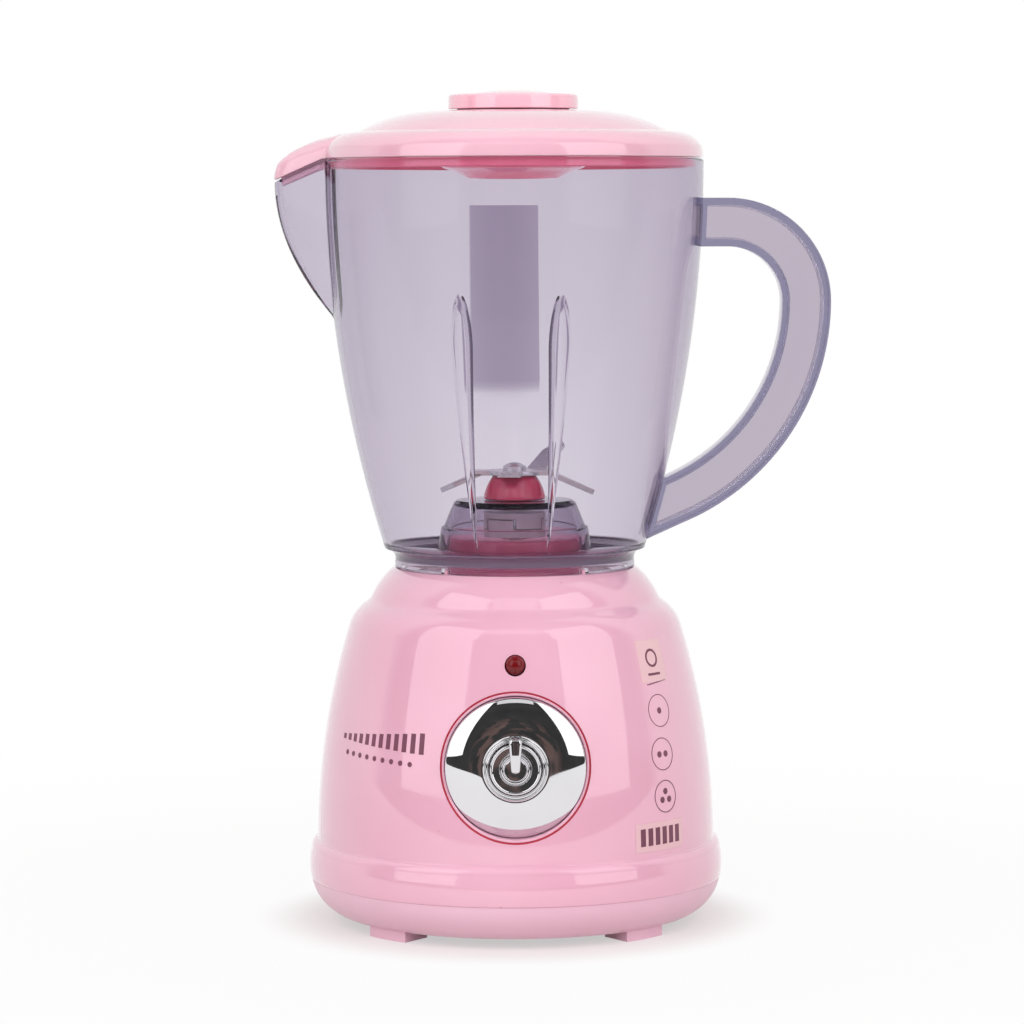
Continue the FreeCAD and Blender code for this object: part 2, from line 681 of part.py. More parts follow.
def drive_train():
    gear = gear_blank(spindle_teeth, 0.62 * gear_module, gear_level, gear_width, 0)
    hub_low, hub_high = plate_top + bush_flange + 0.3, gear_level + gear_width + 4
    hub = rod(3.6, hub_low, hub_high)
    gear = joined(gear, hub).cut(rod(spindle_radius + thread_gap, hub_low - 1, hub_high + 1))
    nodes["spindle_gear"] = gear
    pinion_low = gear_level - 0.5
    pinion = gear_blank(pinion_teeth, gear_module, pinion_low, gear_width + 1, 180.0 / pinion_teeth)
    pinion.translate(Vector(motor_x, 0, 0))
    nodes["motor_pinion"] = pinion.cut(rod(motor_shaft_radius + thread_gap, pinion_low - 1,
                                           pinion_low + gear_width + 2, motor_x, 0))

    spindle_foot = gear_plate_level - 1.5
    nodes["spindle_shaft"] = rod(spindle_radius, spindle_foot, coupler_dog_foot)
    clip_level = boss_top - drive_boss_wall - bush_flange - 1.2
    clip = ring(3.4, spindle_radius + thread_gap, clip_level, clip_level + 0.6)
    nodes["spindle_clip"] = clip.cut(block(0, 5, -0.7, 0.7, clip_level - 1, clip_level + 2))

    lower = joined(rod(bush_radius, gear_plate_level, plate_top),
                   rod(bush_radius + 1.4, plate_top, plate_top + bush_flange))
    upper_face = boss_top - drive_boss_wall
    upper = joined(rod(bush_radius, upper_face - bush_flange, boss_top),
                   rod(bush_radius + 1.6, upper_face - bush_flange, upper_face))
    bore = rod(spindle_radius + running_gap, gear_plate_level - 1, boss_top + 1)
    nodes["lower_bush"] = lower.cut(bore)
    nodes["upper_bush"] = upper.cut(bore)

    plate = rod(gear_plate_radius, gear_plate_level, plate_top)
    holes = [rod(bush_radius + thread_gap, gear_plate_level - 1, plate_top + 1),
             rod(3.2, gear_plate_level - 1, plate_top + 1, motor_x, 0)]
    holes += [rod(screw_radius + 0.2, gear_plate_level - 1, plate_top + 1, x, y) for x, y in post_places()]
    holes += [rod(small_screw_radius + 0.15, gear_plate_level - 1, plate_top + 1, motor_x,
                  side * motor_screw_ring) for side in (-1, 1)]
    nodes["gear_plate"] = plate.cut(holes[0].multiFuse(holes[1:]))
    head_radius, head_height = 1.7, 1.1
    motor_screws = [screw(4.4, motor_x, side * motor_screw_ring, plate_top + head_height, -1,
                          small_screw_radius, head_radius, head_height) for side in (-1, 1)]
    nodes["motor_screws"] = Part.makeCompound(motor_screws)


def motor():
    half_flat = motor_flat / 2

    def flatted(radius, flat, low, high):
        return rod(radius, low, high, motor_x, 0).common(
            block(motor_x - flat, motor_x + flat, -radius, radius, low, high))

    can = flatted(motor_radius, half_flat, motor_can_foot, motor_top)
    inner_radius, inner_flat = motor_radius - motor_can_wall, half_flat - motor_can_wall
    hollow = flatted(inner_radius, inner_flat, motor_can_foot - 1, motor_top - motor_can_wall * 1.5)
    neck = rod(motor_shaft_radius + running_gap, motor_top - 5, motor_top + 1, motor_x, 0)
    tapped = [rod(small_screw_radius + thread_gap, motor_top - 2.4, motor_top + 1, motor_x,
                  side * motor_screw_ring) for side in (-1, 1)]
    nodes["motor_can"] = can.cut(hollow).cut(neck.multiFuse(tapped))
    cap = flatted(motor_radius, half_flat, motor_cap_foot, motor_can_foot)
    cap_recess = flatted(inner_radius - 1, inner_flat - 1, motor_cap_foot + 1.6, motor_can_foot + 1)
    cap_bore = rod(motor_shaft_radius + running_gap, motor_cap_foot - 1, motor_can_foot, motor_x, 0)
    nodes["motor_end_cap"] = cap.cut(cap_recess.fuse(cap_bore))
    magnet_low, magnet_high = motor_can_foot + 3, motor_top - 4
    magnets = flatted(inner_radius - thread_gap, inner_flat - 0.2, magnet_low, magnet_high)
    magnets = magnets.cut(rod(6.0, magnet_low - 1, magnet_high + 1, motor_x, 0))
    magnets = magnets.cut(block(motor_x - 10, motor_x + 10, -2, 2, magnet_low - 1, magnet_high + 1))
    nodes["motor_magnets"] = magnets
    nodes["motor_shaft"] = rod(motor_shaft_radius, motor_cap_foot + 0.3, gear_level + gear_width + 1.5,
                               motor_x, 0)
    armature = []
    for pole in range(3):
        shoe = ring(5.6, 4.6, magnet_low + 1, magnet_high - 1)
        wedge = flat_slab(magnet_low, magnet_high, (0, 0), (8, -5.6), (8, 5.6))
        arm = block(1, 5, -1.1, 1.1, magnet_low + 1, magnet_high - 1)
        coil = block(2.4, 4.4, -2.0, 2.0, magnet_low + 0.4, magnet_high - 0.4)
        for piece in (shoe.common(wedge), arm, coil):
            armature.append(spun(piece, 120 * pole))
    armature.append(rod(2.2, motor_can_foot - 1.2, magnet_high, 0, 0))
    core = joined(*armature).cut(rod(motor_shaft_radius + thread_gap, motor_can_foot - 3, motor_top))
    core.translate(Vector(motor_x, 0, 0))
    nodes["motor_armature"] = core
    tabs = [block(motor_x - 0.9, motor_x + 0.9, side * motor_tab_y - 0.2, side * motor_tab_y + 0.2,
                  motor_cap_foot - tab_length, motor_cap_foot) for side in (-1, 1)]
    nodes["motor_terminals"] = Part.makeCompound(tabs)


def coupler(low, teeth_up, bore):
    """Round plate with three driving dogs."""
    span = 60 - dog_play
    plate = rod(coupler_radius, low, low + coupler_plate)
    dog_low = low + coupler_plate if teeth_up else low - dog_height
    ring_blank = ring(coupler_radius, coupler_radius * 0.5, dog_low, dog_low + dog_height)
    reach = coupler_radius * 2
    half = math.radians(span / 2)
    wedge = flat_slab(dog_low, dog_low + dog_height, (0, 0), (reach, -reach * math.tan(half)),
                      (reach, reach * math.tan(half)))
    dog = ring_blank.common(wedge)
    turn = 0 if teeth_up else 60
    dogs = [spun(dog, 120 * number + turn) for number in range(3)]
    return joined(plate, *dogs).cut(rod(bore, low - dog_height - 1, low + coupler_plate + dog_height + 1))


def batteries():
    reach = bay_half_x - contact_sheet
    spring_length = 2 * reach - cell_length - cell_nub
    springs, buttons = [], []
    for number, side in enumerate((-1, 1), start=1):
        y = side * cell_pitch / 2
        toward = -side          # the cell at -y points its nub to +X
        nub_tip = toward * reach
        body_end = nub_tip - toward * cell_nub
        nub = Part.makeCylinder(2.6, cell_nub, Vector(body_end, y, cell_level), Vector(toward, 0, 0))
        body = Part.makeCylinder(cell_radius, cell_length, Vector(body_end, y, cell_level),
                                 Vector(-toward, 0, 0))
        nodes["battery_cell_%d" % number] = joined(body, nub)
        helix = Part.makeHelix(spring_length / 4 - 0.05, spring_length - 0.8, 3.4)
        section = Part.Wire(Part.makeCircle(0.35, Vector(3.4, 0, 0), Vector(0, 1, 0.35)))
        coil = Part.Wire(helix.Edges).makePipeShell([section], True, True)
        coil.rotate(Vector(0, 0, 0), Vector(0, 1, 0), 90)
        coil.translate(Vector(0.4, 0, 0))
        if toward < 0:
            coil.rotate(Vector(0, 0, 0), Vector(0, 0, 1), 180)
        coil.translate(Vector(-toward * reach, y, cell_level))
        springs.append(coil)
    nodes["spring_contacts"] = Part.makeCompound(springs)
    sheet_low = cell_level - 5
    for side in (-1, 1):
        y = side * cell_pitch / 2
        pad = block(reach, bay_half_x, y - 5, y + 5, sheet_low, bay_roof)
        tail = block(reach, bay_half_x, y - 2, y + 2, bay_roof - 0.5, bay_roof + bay_tail)
        buttons.append(joined(pad, tail))
    nodes["button_contacts"] = Part.makeCompound(buttons)
    nodes["bridge_contact"] = block(-bay_half_x, -reach, -cell_pitch / 2 - 5, cell_pitch / 2 + 5,
                                    sheet_low, bay_roof)


def wiring():
    tail_top = bay_roof + bay_tail + wire_radius + wire_gap
    tail_x = bay_half_x - contact_sheet / 2
    side_y = cell_pitch / 2
    tab_y = -switch_back + tab_length + wire_gap
    tab_z = dial_height - 1.5
    clear_y = tab_y + wire_bend
    motor_tab = motor_cap_foot - tab_length - wire_gap
    below_motor = motor_tab - wire_bend / 2
    beside_motor = motor_x + motor_radius + wire_bend
    nodes["wire_plus"] = pipe([(tail_x, -side_y, tail_top), (tail_x, -side_y - 1, tail_top + wire_bend),
                               (tail_x - wire_bend, clear_y, tab_z - 2), (switch_tab_pitch, clear_y, tab_z),
                               (switch_tab_pitch, tab_y, tab_z)], wire_radius)
    nodes["wire_minus"] = pipe([(tail_x, side_y - 1, tail_top),
                                (tail_x - 1.5, side_y + 1, tail_top + wire_bend / 2),
                                (beside_motor, motor_tab_y + wire_bend, motor_tab - 1),
                                (motor_x, motor_tab_y + 0.3, below_motor),
                                (motor_x, motor_tab_y, motor_tab)], wire_radius)
    nodes["wire_motor"] = pipe([(-switch_tab_pitch, tab_y, tab_z), (-switch_tab_pitch, clear_y, tab_z),
                                (motor_x + 2, -motor_tab_y - wire_bend, motor_tab + wire_bend / 2),
                                (motor_x, -motor_tab_y - 0.3, below_motor),
                                (motor_x, -motor_tab_y, motor_tab)], wire_radius)
    pin_y = -lamp_back + lamp_pin_length + wire_gap
    pin_x = lamp_pin_pitch / 2
    wire_y = pin_y + wire_bend / 2
    first = pipe([(-pin_x, pin_y, lamp_height), (-pin_x, wire_y, lamp_height - 1),
                  (-pin_x - 1, wire_y, tab_z + wire_bend), (0, wire_y, tab_z),
                  (0, tab_y, tab_z)], wire_radius)
    second = pipe([(pin_x, pin_y, lamp_height), (pin_x + 1, wire_y, lamp_height - 1),
                   (tail_x - wire_bend, wire_y, tab_z + wire_bend),
                   (tail_x + 4.5, -side_y, tab_z - wire_bend),
                   (tail_x + 1, side_y + 1.2, tail_top + wire_bend / 2),
                   (tail_x, side_y + 1.2, tail_top)], wire_radius)
    nodes["lamp_wires"] = Part.makeCompound([first, second])


# Jug

jug_foot = seat_height + jug_lift_gap
jug_heel_height = seat_height + jug_heel_rise
jug_rim_height = seat_height + jug_height
flute_top = jug_rim_height - flute_drop
pad_top = jug_rim_height - pad_drop
pad_face_y = jug_rim_radius - pad_face_inset
handle_top = jug_rim_height - handle_drop
jug_floor_low = jug_foot + jug_skirt_height
jug_floor = jug_floor_low + jug_floor_thickness


def jug_wall_radius(height, inset=0.0):
    """Radius of the bowed jug wall at a height."""
    share = (height - jug_heel_height) / (jug_rim_height - jug_heel_height)
    straight = jug_heel_radius + (jug_rim_radius - jug_heel_radius) * share
    return straight + jug_bow * (1 - (2 * share - 1) ** 2) - inset


def bowed_wall(inset, top):
    """Heel point and the arc up the wall to a height, for an outline drawn inset by a thickness."""
    low = (jug_heel_radius - inset, jug_heel_height)
    high = (jug_wall_radius(top, inset), top)
    middle_height = (jug_heel_height + top) / 2
    straight = (low[0] + high[0]) / 2
    return [low, (high[0], high[1], jug_wall_radius(middle_height, inset) - straight)]


def jug_outside(extra=0.0, top=None):
    """Filled outer form of the jug, grown by extra."""
    top = top or jug_rim_height
    return turned((0, jug_foot), (jug_skirt_radius + extra, jug_foot),
                  (jug_skirt_radius + extra, jug_floor_low - 0.3),
                  (jug_heel_radius + extra, jug_heel_height, 0.7), *bowed_wall(-extra, top)[1:], (0, top))


def jug_inside(inset, top):
    return turned((0, jug_floor), (jug_skirt_radius - 0.8 - (inset - jug_wall), jug_floor),
                  (jug_wall_radius(jug_heel_height + 1.5, inset), jug_heel_height + 1.5, 0.5),
                  (jug_wall_radius(top, inset), top, jug_bow - 0.1), (0, top))


def spout_tip(height):
    """Reach of the spout's front line; it runs back into the wall at its foot."""
    tip_height = jug_rim_height - spout_rim_drop
    foot_radius = jug_wall_radius(tip_height - spout_depth)
    share = max(tip_height - height, 0) / spout_depth
    return spout_reach - (spout_reach - foot_radius) * share ** 2


def spout_section(height, inset):
    """V-shaped section of the spout with a rounded nose, as a closed wire at a height."""
    tip = spout_tip(height) - inset
    nose = max(spout_nose_radius - inset, 0.9)
    root = jug_wall_radius(height) - 4
    half = spout_root_width - inset
    along = tip - nose - root
    turn = math.atan2(half, along) + math.acos(nose / math.hypot(along, half))
    touch_x, touch_y = tip - nose - nose * math.cos(turn), nose * math.sin(turn)
    back = root - spout_tail
    corners = [Vector(-back, half, height), Vector(-root, half, height), Vector(-touch_x, touch_y, height)]
    mirrored = [Vector(point.x, -point.y, point.z) for point in corners]
    arc = Part.Arc(corners[2], Vector(-tip, 0, height), mirrored[2]).toShape()
    lines = [(corners[0], corners[1]), (corners[1], corners[2]), None, (mirrored[2], mirrored[1]),
             (mirrored[1], mirrored[0]), (mirrored[0], corners[0])]
    return Part.Wire([arc if line is None else Part.LineSegment(*line).toShape() for line in lines])


def spout_solid(inset, low_extra=0.0):
    top = jug_rim_height + 4
    low = jug_rim_height - spout_rim_drop - spout_depth + low_extra
    levels = [low + (top - low) * step / 14 for step in range(15)]
    return Part.makeLoft([spout_section(level, inset) for level in levels], True, True)


def rim_line(x):
    """Height of the jug's rim: level round the wall, falling towards the spout's tip."""
    start = -jug_rim_radius
    if x >= start:
        return jug_rim_height
    return jug_rim_height - spout_rim_drop * (start - x) / (spout_reach - jug_rim_radius)


def above_rim(offset):
    """Everything above the rim line, shifted up by offset."""
    far = -spout_reach - 4
    return side_slab(60, (far, rim_line(far) + offset), (-jug_rim_radius, jug_rim_height + offset),
                     (62, jug_rim_height + offset), (62, jug_rim_height + 30), (far, jug_rim_height + 30))


def teardrop(width, low, high):
    """Upright flute outline at the front, rounded at the top and running to a point at the foot."""
    half = width / 2
    widest = high - (high - low) * 0.2
    face = Part.Face(wire_from([(0, low), (half, widest, 0.6), (0, high, half * 0.35),
                                (-half, widest, half * 0.35), (0, low, 0.6)],
                               lambda x, z: Vector(x, -60, z)))
    return face.extrude(Vector(0, 35, 0))


def jug():
    outside = joined(jug_outside(), spout_solid(0))
    inside = joined(jug_inside(jug_wall, jug_rim_height + 1),
                    spout_solid(jug_wall, 1.5))
    # raised boss in the floor, hollow below to clear the drive boss
    hollow_foot = drive_boss_radius + boss_clearance
    hollow_shoulder = boss_top + 0.5
    shoulder = hollow_foot - boss_slope * (hollow_shoulder - seat_height)
    hollow_top = jug_boss_top - jug_wall
    boss_step = 0.6
    boss = turned((0, jug_floor_low), (hollow_foot + jug_wall + 0.4, jug_floor_low),
                  (shoulder + jug_wall, hollow_shoulder),
                  (shoulder + jug_wall - boss_step, hollow_shoulder + 0.2),
                  (jug_boss_top_radius + 0.8, jug_boss_top - 0.6),
                  (jug_boss_top_radius, jug_boss_top, 0.2), (0, jug_boss_top))
    boss_hollow = turned((0, jug_floor_low - 1), (hollow_foot, jug_floor_low - 1),
                         (shoulder, hollow_shoulder), (jug_boss_top_radius - 0.8, hollow_top),
                         (0, hollow_top))
    skirt_hollow = rod(jug_skirt_radius - jug_wall, jug_foot - 1, jug_floor_low)
    shell = outside.cut(inside)
    # front flutes: a ridge inside, a groove outside
    additions = [boss]
    grooves = []
    low = jug_floor + 1.0
    ridge_band = jug_outside(-jug_wall / 2).cut(jug_inside(jug_wall + flute_depth, flute_top + 9))
    groove_band = jug_outside(6).cut(jug_inside(flute_depth, flute_top + 9))
    for side in (-1, 1):
        angle = side * flute_angle
        additions.append(ridge_band.common(spun(teardrop(flute_width, low, flute_top), angle)))
        inner_drop = teardrop(flute_width - 2 * 1.3, low + 8, flute_top - 2.4)
        grooves.append(groove_band.common(spun(inner_drop, angle)))
    pad = block(-pad_width / 2, pad_width / 2, pad_face_y, pad_face_y + 15, jug_heel_height + 5, pad_top)
    additions.append(pad.common(jug_outside(-jug_wall / 2)))
    body = joined(shell, *additions)
    shaft_hole = rod(blade_shaft_radius + running_gap + bush_wall + thread_gap, hollow_top - 1,
                     jug_boss_top + 1)
    cuts = [skirt_hollow, boss_hollow, shaft_hole, above_rim(0)] + grooves
    for angle in lug_angles:
        notch = block(jug_skirt_radius - jug_wall - 1, jug_skirt_radius + 1, -1.0, 1.0, jug_foot - 1,
                      seat_height + lug_size + 0.4)
        cuts.append(spun(notch, angle))
    nodes["jug_body"] = body.cut(cuts[0].multiFuse(cuts[1:]))
    bush = joined(rod(bush_radius, hollow_top, jug_boss_top),
                  rod(bush_radius + 1.2, hollow_top - 0.6, hollow_top))
    nodes["jug_bush"] = bush.cut(rod(blade_shaft_radius + running_gap, hollow_top - 2, jug_boss_top + 1))


def handle_outline(offset):
    """Points down one edge of the handle band, offset outwards from its middle line."""
    top_z = handle_top + offset
    corner_x = jug_rim_radius + handle_top_run
    top_radius, back_radius = handle_top_radius + offset, handle_back_radius + offset
    side_x = corner_x + top_radius
    side_z = handle_top - handle_top_radius
    turn = math.radians(handle_back_turn)
    centre_x = corner_x + handle_top_radius - handle_back_radius
    end_x = centre_x + back_radius * math.cos(turn)
    end_z = side_z - back_radius * math.sin(turn)
    run = 26.0
    tail_x = end_x - run * math.sin(turn)
    tail_z = end_z - run * math.cos(turn)
    return [(20, top_z), (corner_x, top_z), (side_x, side_z, -top_radius * (1 - math.sqrt(0.5))),
            (end_x, end_z, -back_radius * (1 - math.cos(turn / 2))), (tail_x, tail_z)]


def handle_band_solid(low, high, half_width):
    """Part of the band between two offsets from its middle line."""
    outer = handle_outline(high)
    inner = handle_outline(low)
    back = [inner[4], inner[3],
            (inner[2][0], inner[2][1], -inner[3][2]), (inner[1][0], inner[1][1], -inner[2][2]), inner[0]]
    return side_slab(half_width, *[outer[0][:2], outer[1], outer[2], outer[3], outer[4][:2]],
                     *[back[0][:2], back[1][:2]], *back[2:])


def handle():
    half_band = handle_band / 2
    half_width = handle_width / 2
    parts = [handle_band_solid(-half_band, half_band, handle_web / 2),
             handle_band_solid(half_band - handle_flange, half_band, half_width),
             handle_band_solid(-half_band, -half_band + handle_flange, half_width)]
    wall = jug_outside(glue_gap)
    full_band = handle_band_solid(-half_band, half_band, half_width)
    pad_band = jug_outside(glue_gap + handle_pad).cut(wall)
    pads = full_band.common(pad_band)
    body = joined(*parts).cut(wall)
    keep = [piece for piece in joined(body, pads).Solids if piece.CenterOfMass.x > jug_rim_radius - 6]
    nodes["jug_handle"] = keep[0]


# Blade

hub_low = jug_boss_top + hub_gap
hub_high = hub_low + hub_height
plate_low = hub_high
blade_top = plate_low + blade_thickness
short_reach = blade_reach * 0.75
# direction, tilt in degrees (down is negative) and reach of each arm
blade_arms = ((0, -20, blade_reach), (52, 28, blade_reach), (180, -20, blade_reach), (262, 6, short_reach))


def blade():
    nodes["blade_shaft"] = rod(blade_shaft_radius, driven_foot - 0.5, blade_top + 1.2)
    hub = turned((0, hub_low), (hub_foot_radius, hub_low), (hub_foot_radius - 0.2, hub_low + 1.2),
                 (hub_top_radius, hub_high, 0.7), (0, hub_high))
    nodes["blade_hub"] = hub.cut(rod(blade_shaft_radius + thread_gap, hub_low - 1, hub_high + 1))
    pieces = [rod(blade_plate_radius, plate_low, blade_top)]
    half = blade_arm_width / 2
    for azimuth, tilt, reach in blade_arms:
        bend = blade_plate_radius - 1.2
        length = (reach - bend) / math.cos(math.radians(tilt))
        arm = flat_slab(plate_low, blade_top, (0, -half), (length, -half * 0.45),
                        (length, half * 0.25, half * 0.1), (length * 0.72, half), (0, half))
        arm.rotate(Vector(0, 0, plate_low if tilt < 0 else blade_top), Vector(0, 1, 0), -tilt)
        arm.translate(Vector(bend, 0, 0))
        root = block(0, bend + 0.4, -half, half, plate_low, blade_top)
        pieces += [spun(arm, azimuth), spun(root, azimuth)]
    cross = joined(*pieces).cut(rod(blade_shaft_radius + thread_gap, plate_low - 1, blade_top + 1))
    nodes["blade_cross"] = cross
    nut = turned((0, blade_top), (3.0, blade_top), (3.0, blade_top + 1.0),
                 dome(3.0, blade_top + 1.0, blade_top + 2.0))
    nodes["blade_nut"] = nut.cut(rod(blade_shaft_radius + thread_gap, blade_top - 1, blade_top + 1.2))
    nodes["driven_coupler"] = coupler(driven_foot, False, blade_shaft_radius + thread_gap)
    nodes["drive_coupler"] = coupler(coupler_foot, True, spindle_radius + thread_gap)


# Lid and cap

lid_edge = jug_rim_height + lid_gap
lid_flat = lid_edge + lid_ring_height
crown_top = lid_flat + crown_height
cap_seat = crown_top + cap_gap


def lid_form(inset):
    """Outer form of the lid, drawn inset by a thickness."""
    flat, crown = lid_flat - inset, crown_top - inset
    edge_radius = jug_rim_radius - inset
    return turned((0, lid_edge - (1 if inset else 0)), (edge_radius, lid_edge - (1 if inset else 0)),
                  (edge_radius - 0.4, lid_edge + lid_ring_height * 0.45 - inset / 2, 0.1),
                  (lid_flat_radius + 3.6 - inset / 2, flat - 0.3, 1.6), (lid_flat_radius - inset / 2, flat),
                  (crown_radius - inset, crown - 0.3, 0.9), (0, crown))


def nose_width(reach, inset):
    """Half width of the spout's plan at a distance along -X."""
    tip = spout_reach + 0.2 - inset
    nose = max(spout_nose_radius - inset, 0.9)
    root = jug_rim_radius - 4
    half = spout_root_width - inset
    along = tip - nose - root
    turn = math.atan2(half, along) + math.acos(nose / math.hypot(along, half))
    touch_reach = tip - nose - nose * math.cos(turn)
    touch_half = nose * math.sin(turn)
    if reach > touch_reach:
        return math.sqrt(max(nose ** 2 - (reach - tip + nose) ** 2, 0.01))
    if reach < root:
        return half
    return touch_half + (half - touch_half) * (touch_reach - reach) / (touch_reach - root)


def nose_solid(side_inset, top_inset, drop):
    """Arched nose of the lid over the spout, reaching drop below the line of the jug's rim."""
    root = jug_rim_radius - 12
    shoulder = jug_rim_radius - 4
    tip = spout_reach + 0.2 - side_inset
    wires = []
    for share in (0, 0.28, 0.42, 0.54, 0.65, 0.75, 0.84, 0.91, 0.96, 0.99):
        reach = root + (tip - root) * share
        fall = max(0.0, (reach - shoulder) / (spout_reach - shoulder)) ** 3.2
        low = rim_line(-reach) + lid_gap
        high = low + nose_height - top_inset - (nose_height - nose_tip_height) * fall
        half = nose_width(reach, side_inset)
        side = low + (high - low) * (0.62 - 0.25 * fall)
        low -= drop
        corners = [Vector(-reach, -half, low), Vector(-reach, -half, side), Vector(-reach, half, side),
                   Vector(-reach, half, low)]
        arc = Part.Arc(corners[1], Vector(-reach, 0, high), corners[2]).toShape()
        wires.append(Part.Wire([Part.LineSegment(corners[0], corners[1]).toShape(), arc,
                                Part.LineSegment(corners[2], corners[3]).toShape(),
                                Part.LineSegment(corners[3], corners[0]).toShape()]))
    return Part.makeLoft(wires, True, True)


def lid():
    plug_inset = jug_wall + lid_skirt_clearance
    nose_hollow = nose_solid(plug_inset + lid_skirt_wall, lid_wall, lid_gap + lid_skirt_depth + 1)
    shell = joined(lid_form(0), nose_solid(0, 0, 0)).cut(lid_form(lid_wall)).cut(nose_hollow)
    skirt_radius = jug_rim_radius - jug_wall - lid_skirt_clearance
    skirt_foot = jug_rim_height - lid_skirt_depth
    skirt = ring(skirt_radius, skirt_radius - lid_skirt_wall, skirt_foot, lid_edge + 3.2)
    plug = nose_solid(plug_inset, lid_wall - 0.6, lid_gap + lid_skirt_depth)
    plug_room = rod(skirt_radius - lid_skirt_wall, skirt_foot - 5, lid_flat + 3)
    rim_parts = joined(skirt, plug.cut(plug_room)).cut(nose_hollow)
    well_floor = jug_rim_height - well_depth
    bowl_turn, bowl_rise = 1.8, 2.8
    inside_crown = crown_top - lid_wall / 2
    well = turned((0, well_floor), (well_floor_radius, well_floor),
                  (well_radius - bowl_turn, well_floor + bowl_rise, 0.5), (well_radius, lid_edge + 2),
                  (well_radius, inside_crown), (0, inside_crown))
    well_top = crown_top - lid_wall
    hollow_radius, hollow_floor = well_radius - lid_wall, well_floor + lid_wall
    well_hollow = turned((0, hollow_floor), (well_floor_radius - 0.4, hollow_floor),
                         (hollow_radius - bowl_turn, hollow_floor + bowl_rise - 0.7, 0.5),
                         (hollow_radius, lid_edge + 2), (hollow_radius, well_top), (0, well_top))
    body = joined(shell, rim_parts, well)
    cuts = [well_hollow, rod(filler_radius, well_top - 1, crown_top + 2),
            rod(well_hole_radius, well_floor - 1, hollow_floor + 1)]
    nodes["lid"] = body.cut(cuts[0].multiFuse(cuts[1:]))


def filler_cap():
    cap_top = cap_seat + cap_height
    cap_foot = cap_seat - cap_skirt_depth
    plug_radius = filler_radius - cap_skirt_clearance
    cap = turned((0, cap_foot), (plug_radius, cap_foot), (plug_radius, cap_seat),
                 (cap_radius - 0.4, cap_seat), (cap_radius, cap_seat + 0.4),
                 (cap_radius - 0.15, cap_top - 0.7), (cap_radius - 0.9, cap_top, 0.2),
                 (cap_radius - 3.4, cap_top), dome(cap_radius - 3.4, cap_top, cap_top + cap_dome))
    hollow_radius, hollow_top = plug_radius - cap_wall, cap_top - cap_wall - 0.2
    cap_hollow = turned((0, cap_foot - 1), (hollow_radius, cap_foot - 1), (hollow_radius, hollow_top),
                        (0, hollow_top))
    nodes["filler_cap"] = cap.cut(cap_hollow)


for build in (upper_housing, bottom_cover, battery_door, base_fasteners, dial_and_knob, lamp_parts,
              drive_train, motor, batteries, wiring, jug, handle, blade, lid, filler_cap):
    build()

os.makedirs("parts", exist_ok=True)
for name, shape in sorted(nodes.items()):
    shape.exportStep("parts/%s.step" % name)
    box = shape.BoundBox
    print("%-18s solids %d  valid %s  volume %9.1f  x %7.2f %7.2f  y %7.2f %7.2f  z %7.2f %7.2f"
          % (name, len(shape.Solids), shape.isValid(), shape.Volume, box.XMin, box.XMax, box.YMin,
             box.YMax, box.ZMin, box.ZMax))
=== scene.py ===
import json
import math

import bmesh
import bpy
from mathutils import Matrix, Vector


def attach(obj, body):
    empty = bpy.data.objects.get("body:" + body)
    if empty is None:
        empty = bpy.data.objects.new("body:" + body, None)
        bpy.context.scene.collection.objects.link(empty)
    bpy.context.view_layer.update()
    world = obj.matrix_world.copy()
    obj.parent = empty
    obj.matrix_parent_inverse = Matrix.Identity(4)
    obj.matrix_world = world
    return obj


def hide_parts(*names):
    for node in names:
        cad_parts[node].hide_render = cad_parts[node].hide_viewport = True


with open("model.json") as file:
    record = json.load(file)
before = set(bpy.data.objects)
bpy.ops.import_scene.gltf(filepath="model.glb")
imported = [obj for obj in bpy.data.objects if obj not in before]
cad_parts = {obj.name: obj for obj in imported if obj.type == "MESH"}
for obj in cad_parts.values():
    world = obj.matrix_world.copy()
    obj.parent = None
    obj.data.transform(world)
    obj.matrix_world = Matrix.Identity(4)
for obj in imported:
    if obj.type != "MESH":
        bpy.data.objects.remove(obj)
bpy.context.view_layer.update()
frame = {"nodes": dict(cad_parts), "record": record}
print("frame loaded:", len(frame["nodes"]), "nodes")

mm = 0.001
tiny = 1e-6
spoutSide = math.pi       # the spout points to -X
frontSide = -math.pi / 2  # the dial faces -Y


class Wire:  # a node's socket; arithmetic on it adds Math nodes
    def __init__(self, tree, socket=None):
        self.tree = tree
        self.socket = socket

    def node(self, kind, values=None, out=0, **settings):
        made = self.tree.nodes.new("ShaderNode" + kind)
        for name, value in settings.items():
            setattr(made, name, value)
        for name, value in (values or {}).items():
            if isinstance(value, Wire):
                self.tree.links.new(value.socket, made.inputs[name])
            else:
                made.inputs[name].default_value = value
        return Wire(self.tree, made.outputs[out])

    def result(self, kind, **sockets):
        made = self.tree.nodes.new("ShaderNodeOutput" + kind)
        for name, value in sockets.items():
            self.tree.links.new(value.socket, made.inputs[name])

    def maths(self, operation, *terms):
        return self.node("Math", dict(enumerate(terms)), operation=operation)

    def __add__(self, other):
        return self.maths("ADD", self, other)

    __radd__ = __add__

    def __sub__(self, other):
        return self.maths("SUBTRACT", self, other)

    def __rsub__(self, other):
        return self.maths("SUBTRACT", other, self)

    def __mul__(self, other):
        return self.maths("MULTIPLY", self, other)

    __rmul__ = __mul__

    def over(self, other):  # 1 where this is the greater
        return self.maths("GREATER_THAN", self, other)

    def under(self, other):
        return self.maths("LESS_THAN", self, other)

    def clamped(self):
        return self.node("Clamp", {"Value": self})

    def between(self, low, high):  # 0 at low, 1 at high, smooth in the middle
        return self.node("MapRange", {"Value": self, "From Min": low, "From Max": high},
                         interpolation_type="SMOOTHSTEP")

    def blend(self, first, second):  # colour mix, with this socket as the factor
        return self.node("Mix", {0: self, 6: first, 7: second}, out=2, data_type="RGBA")


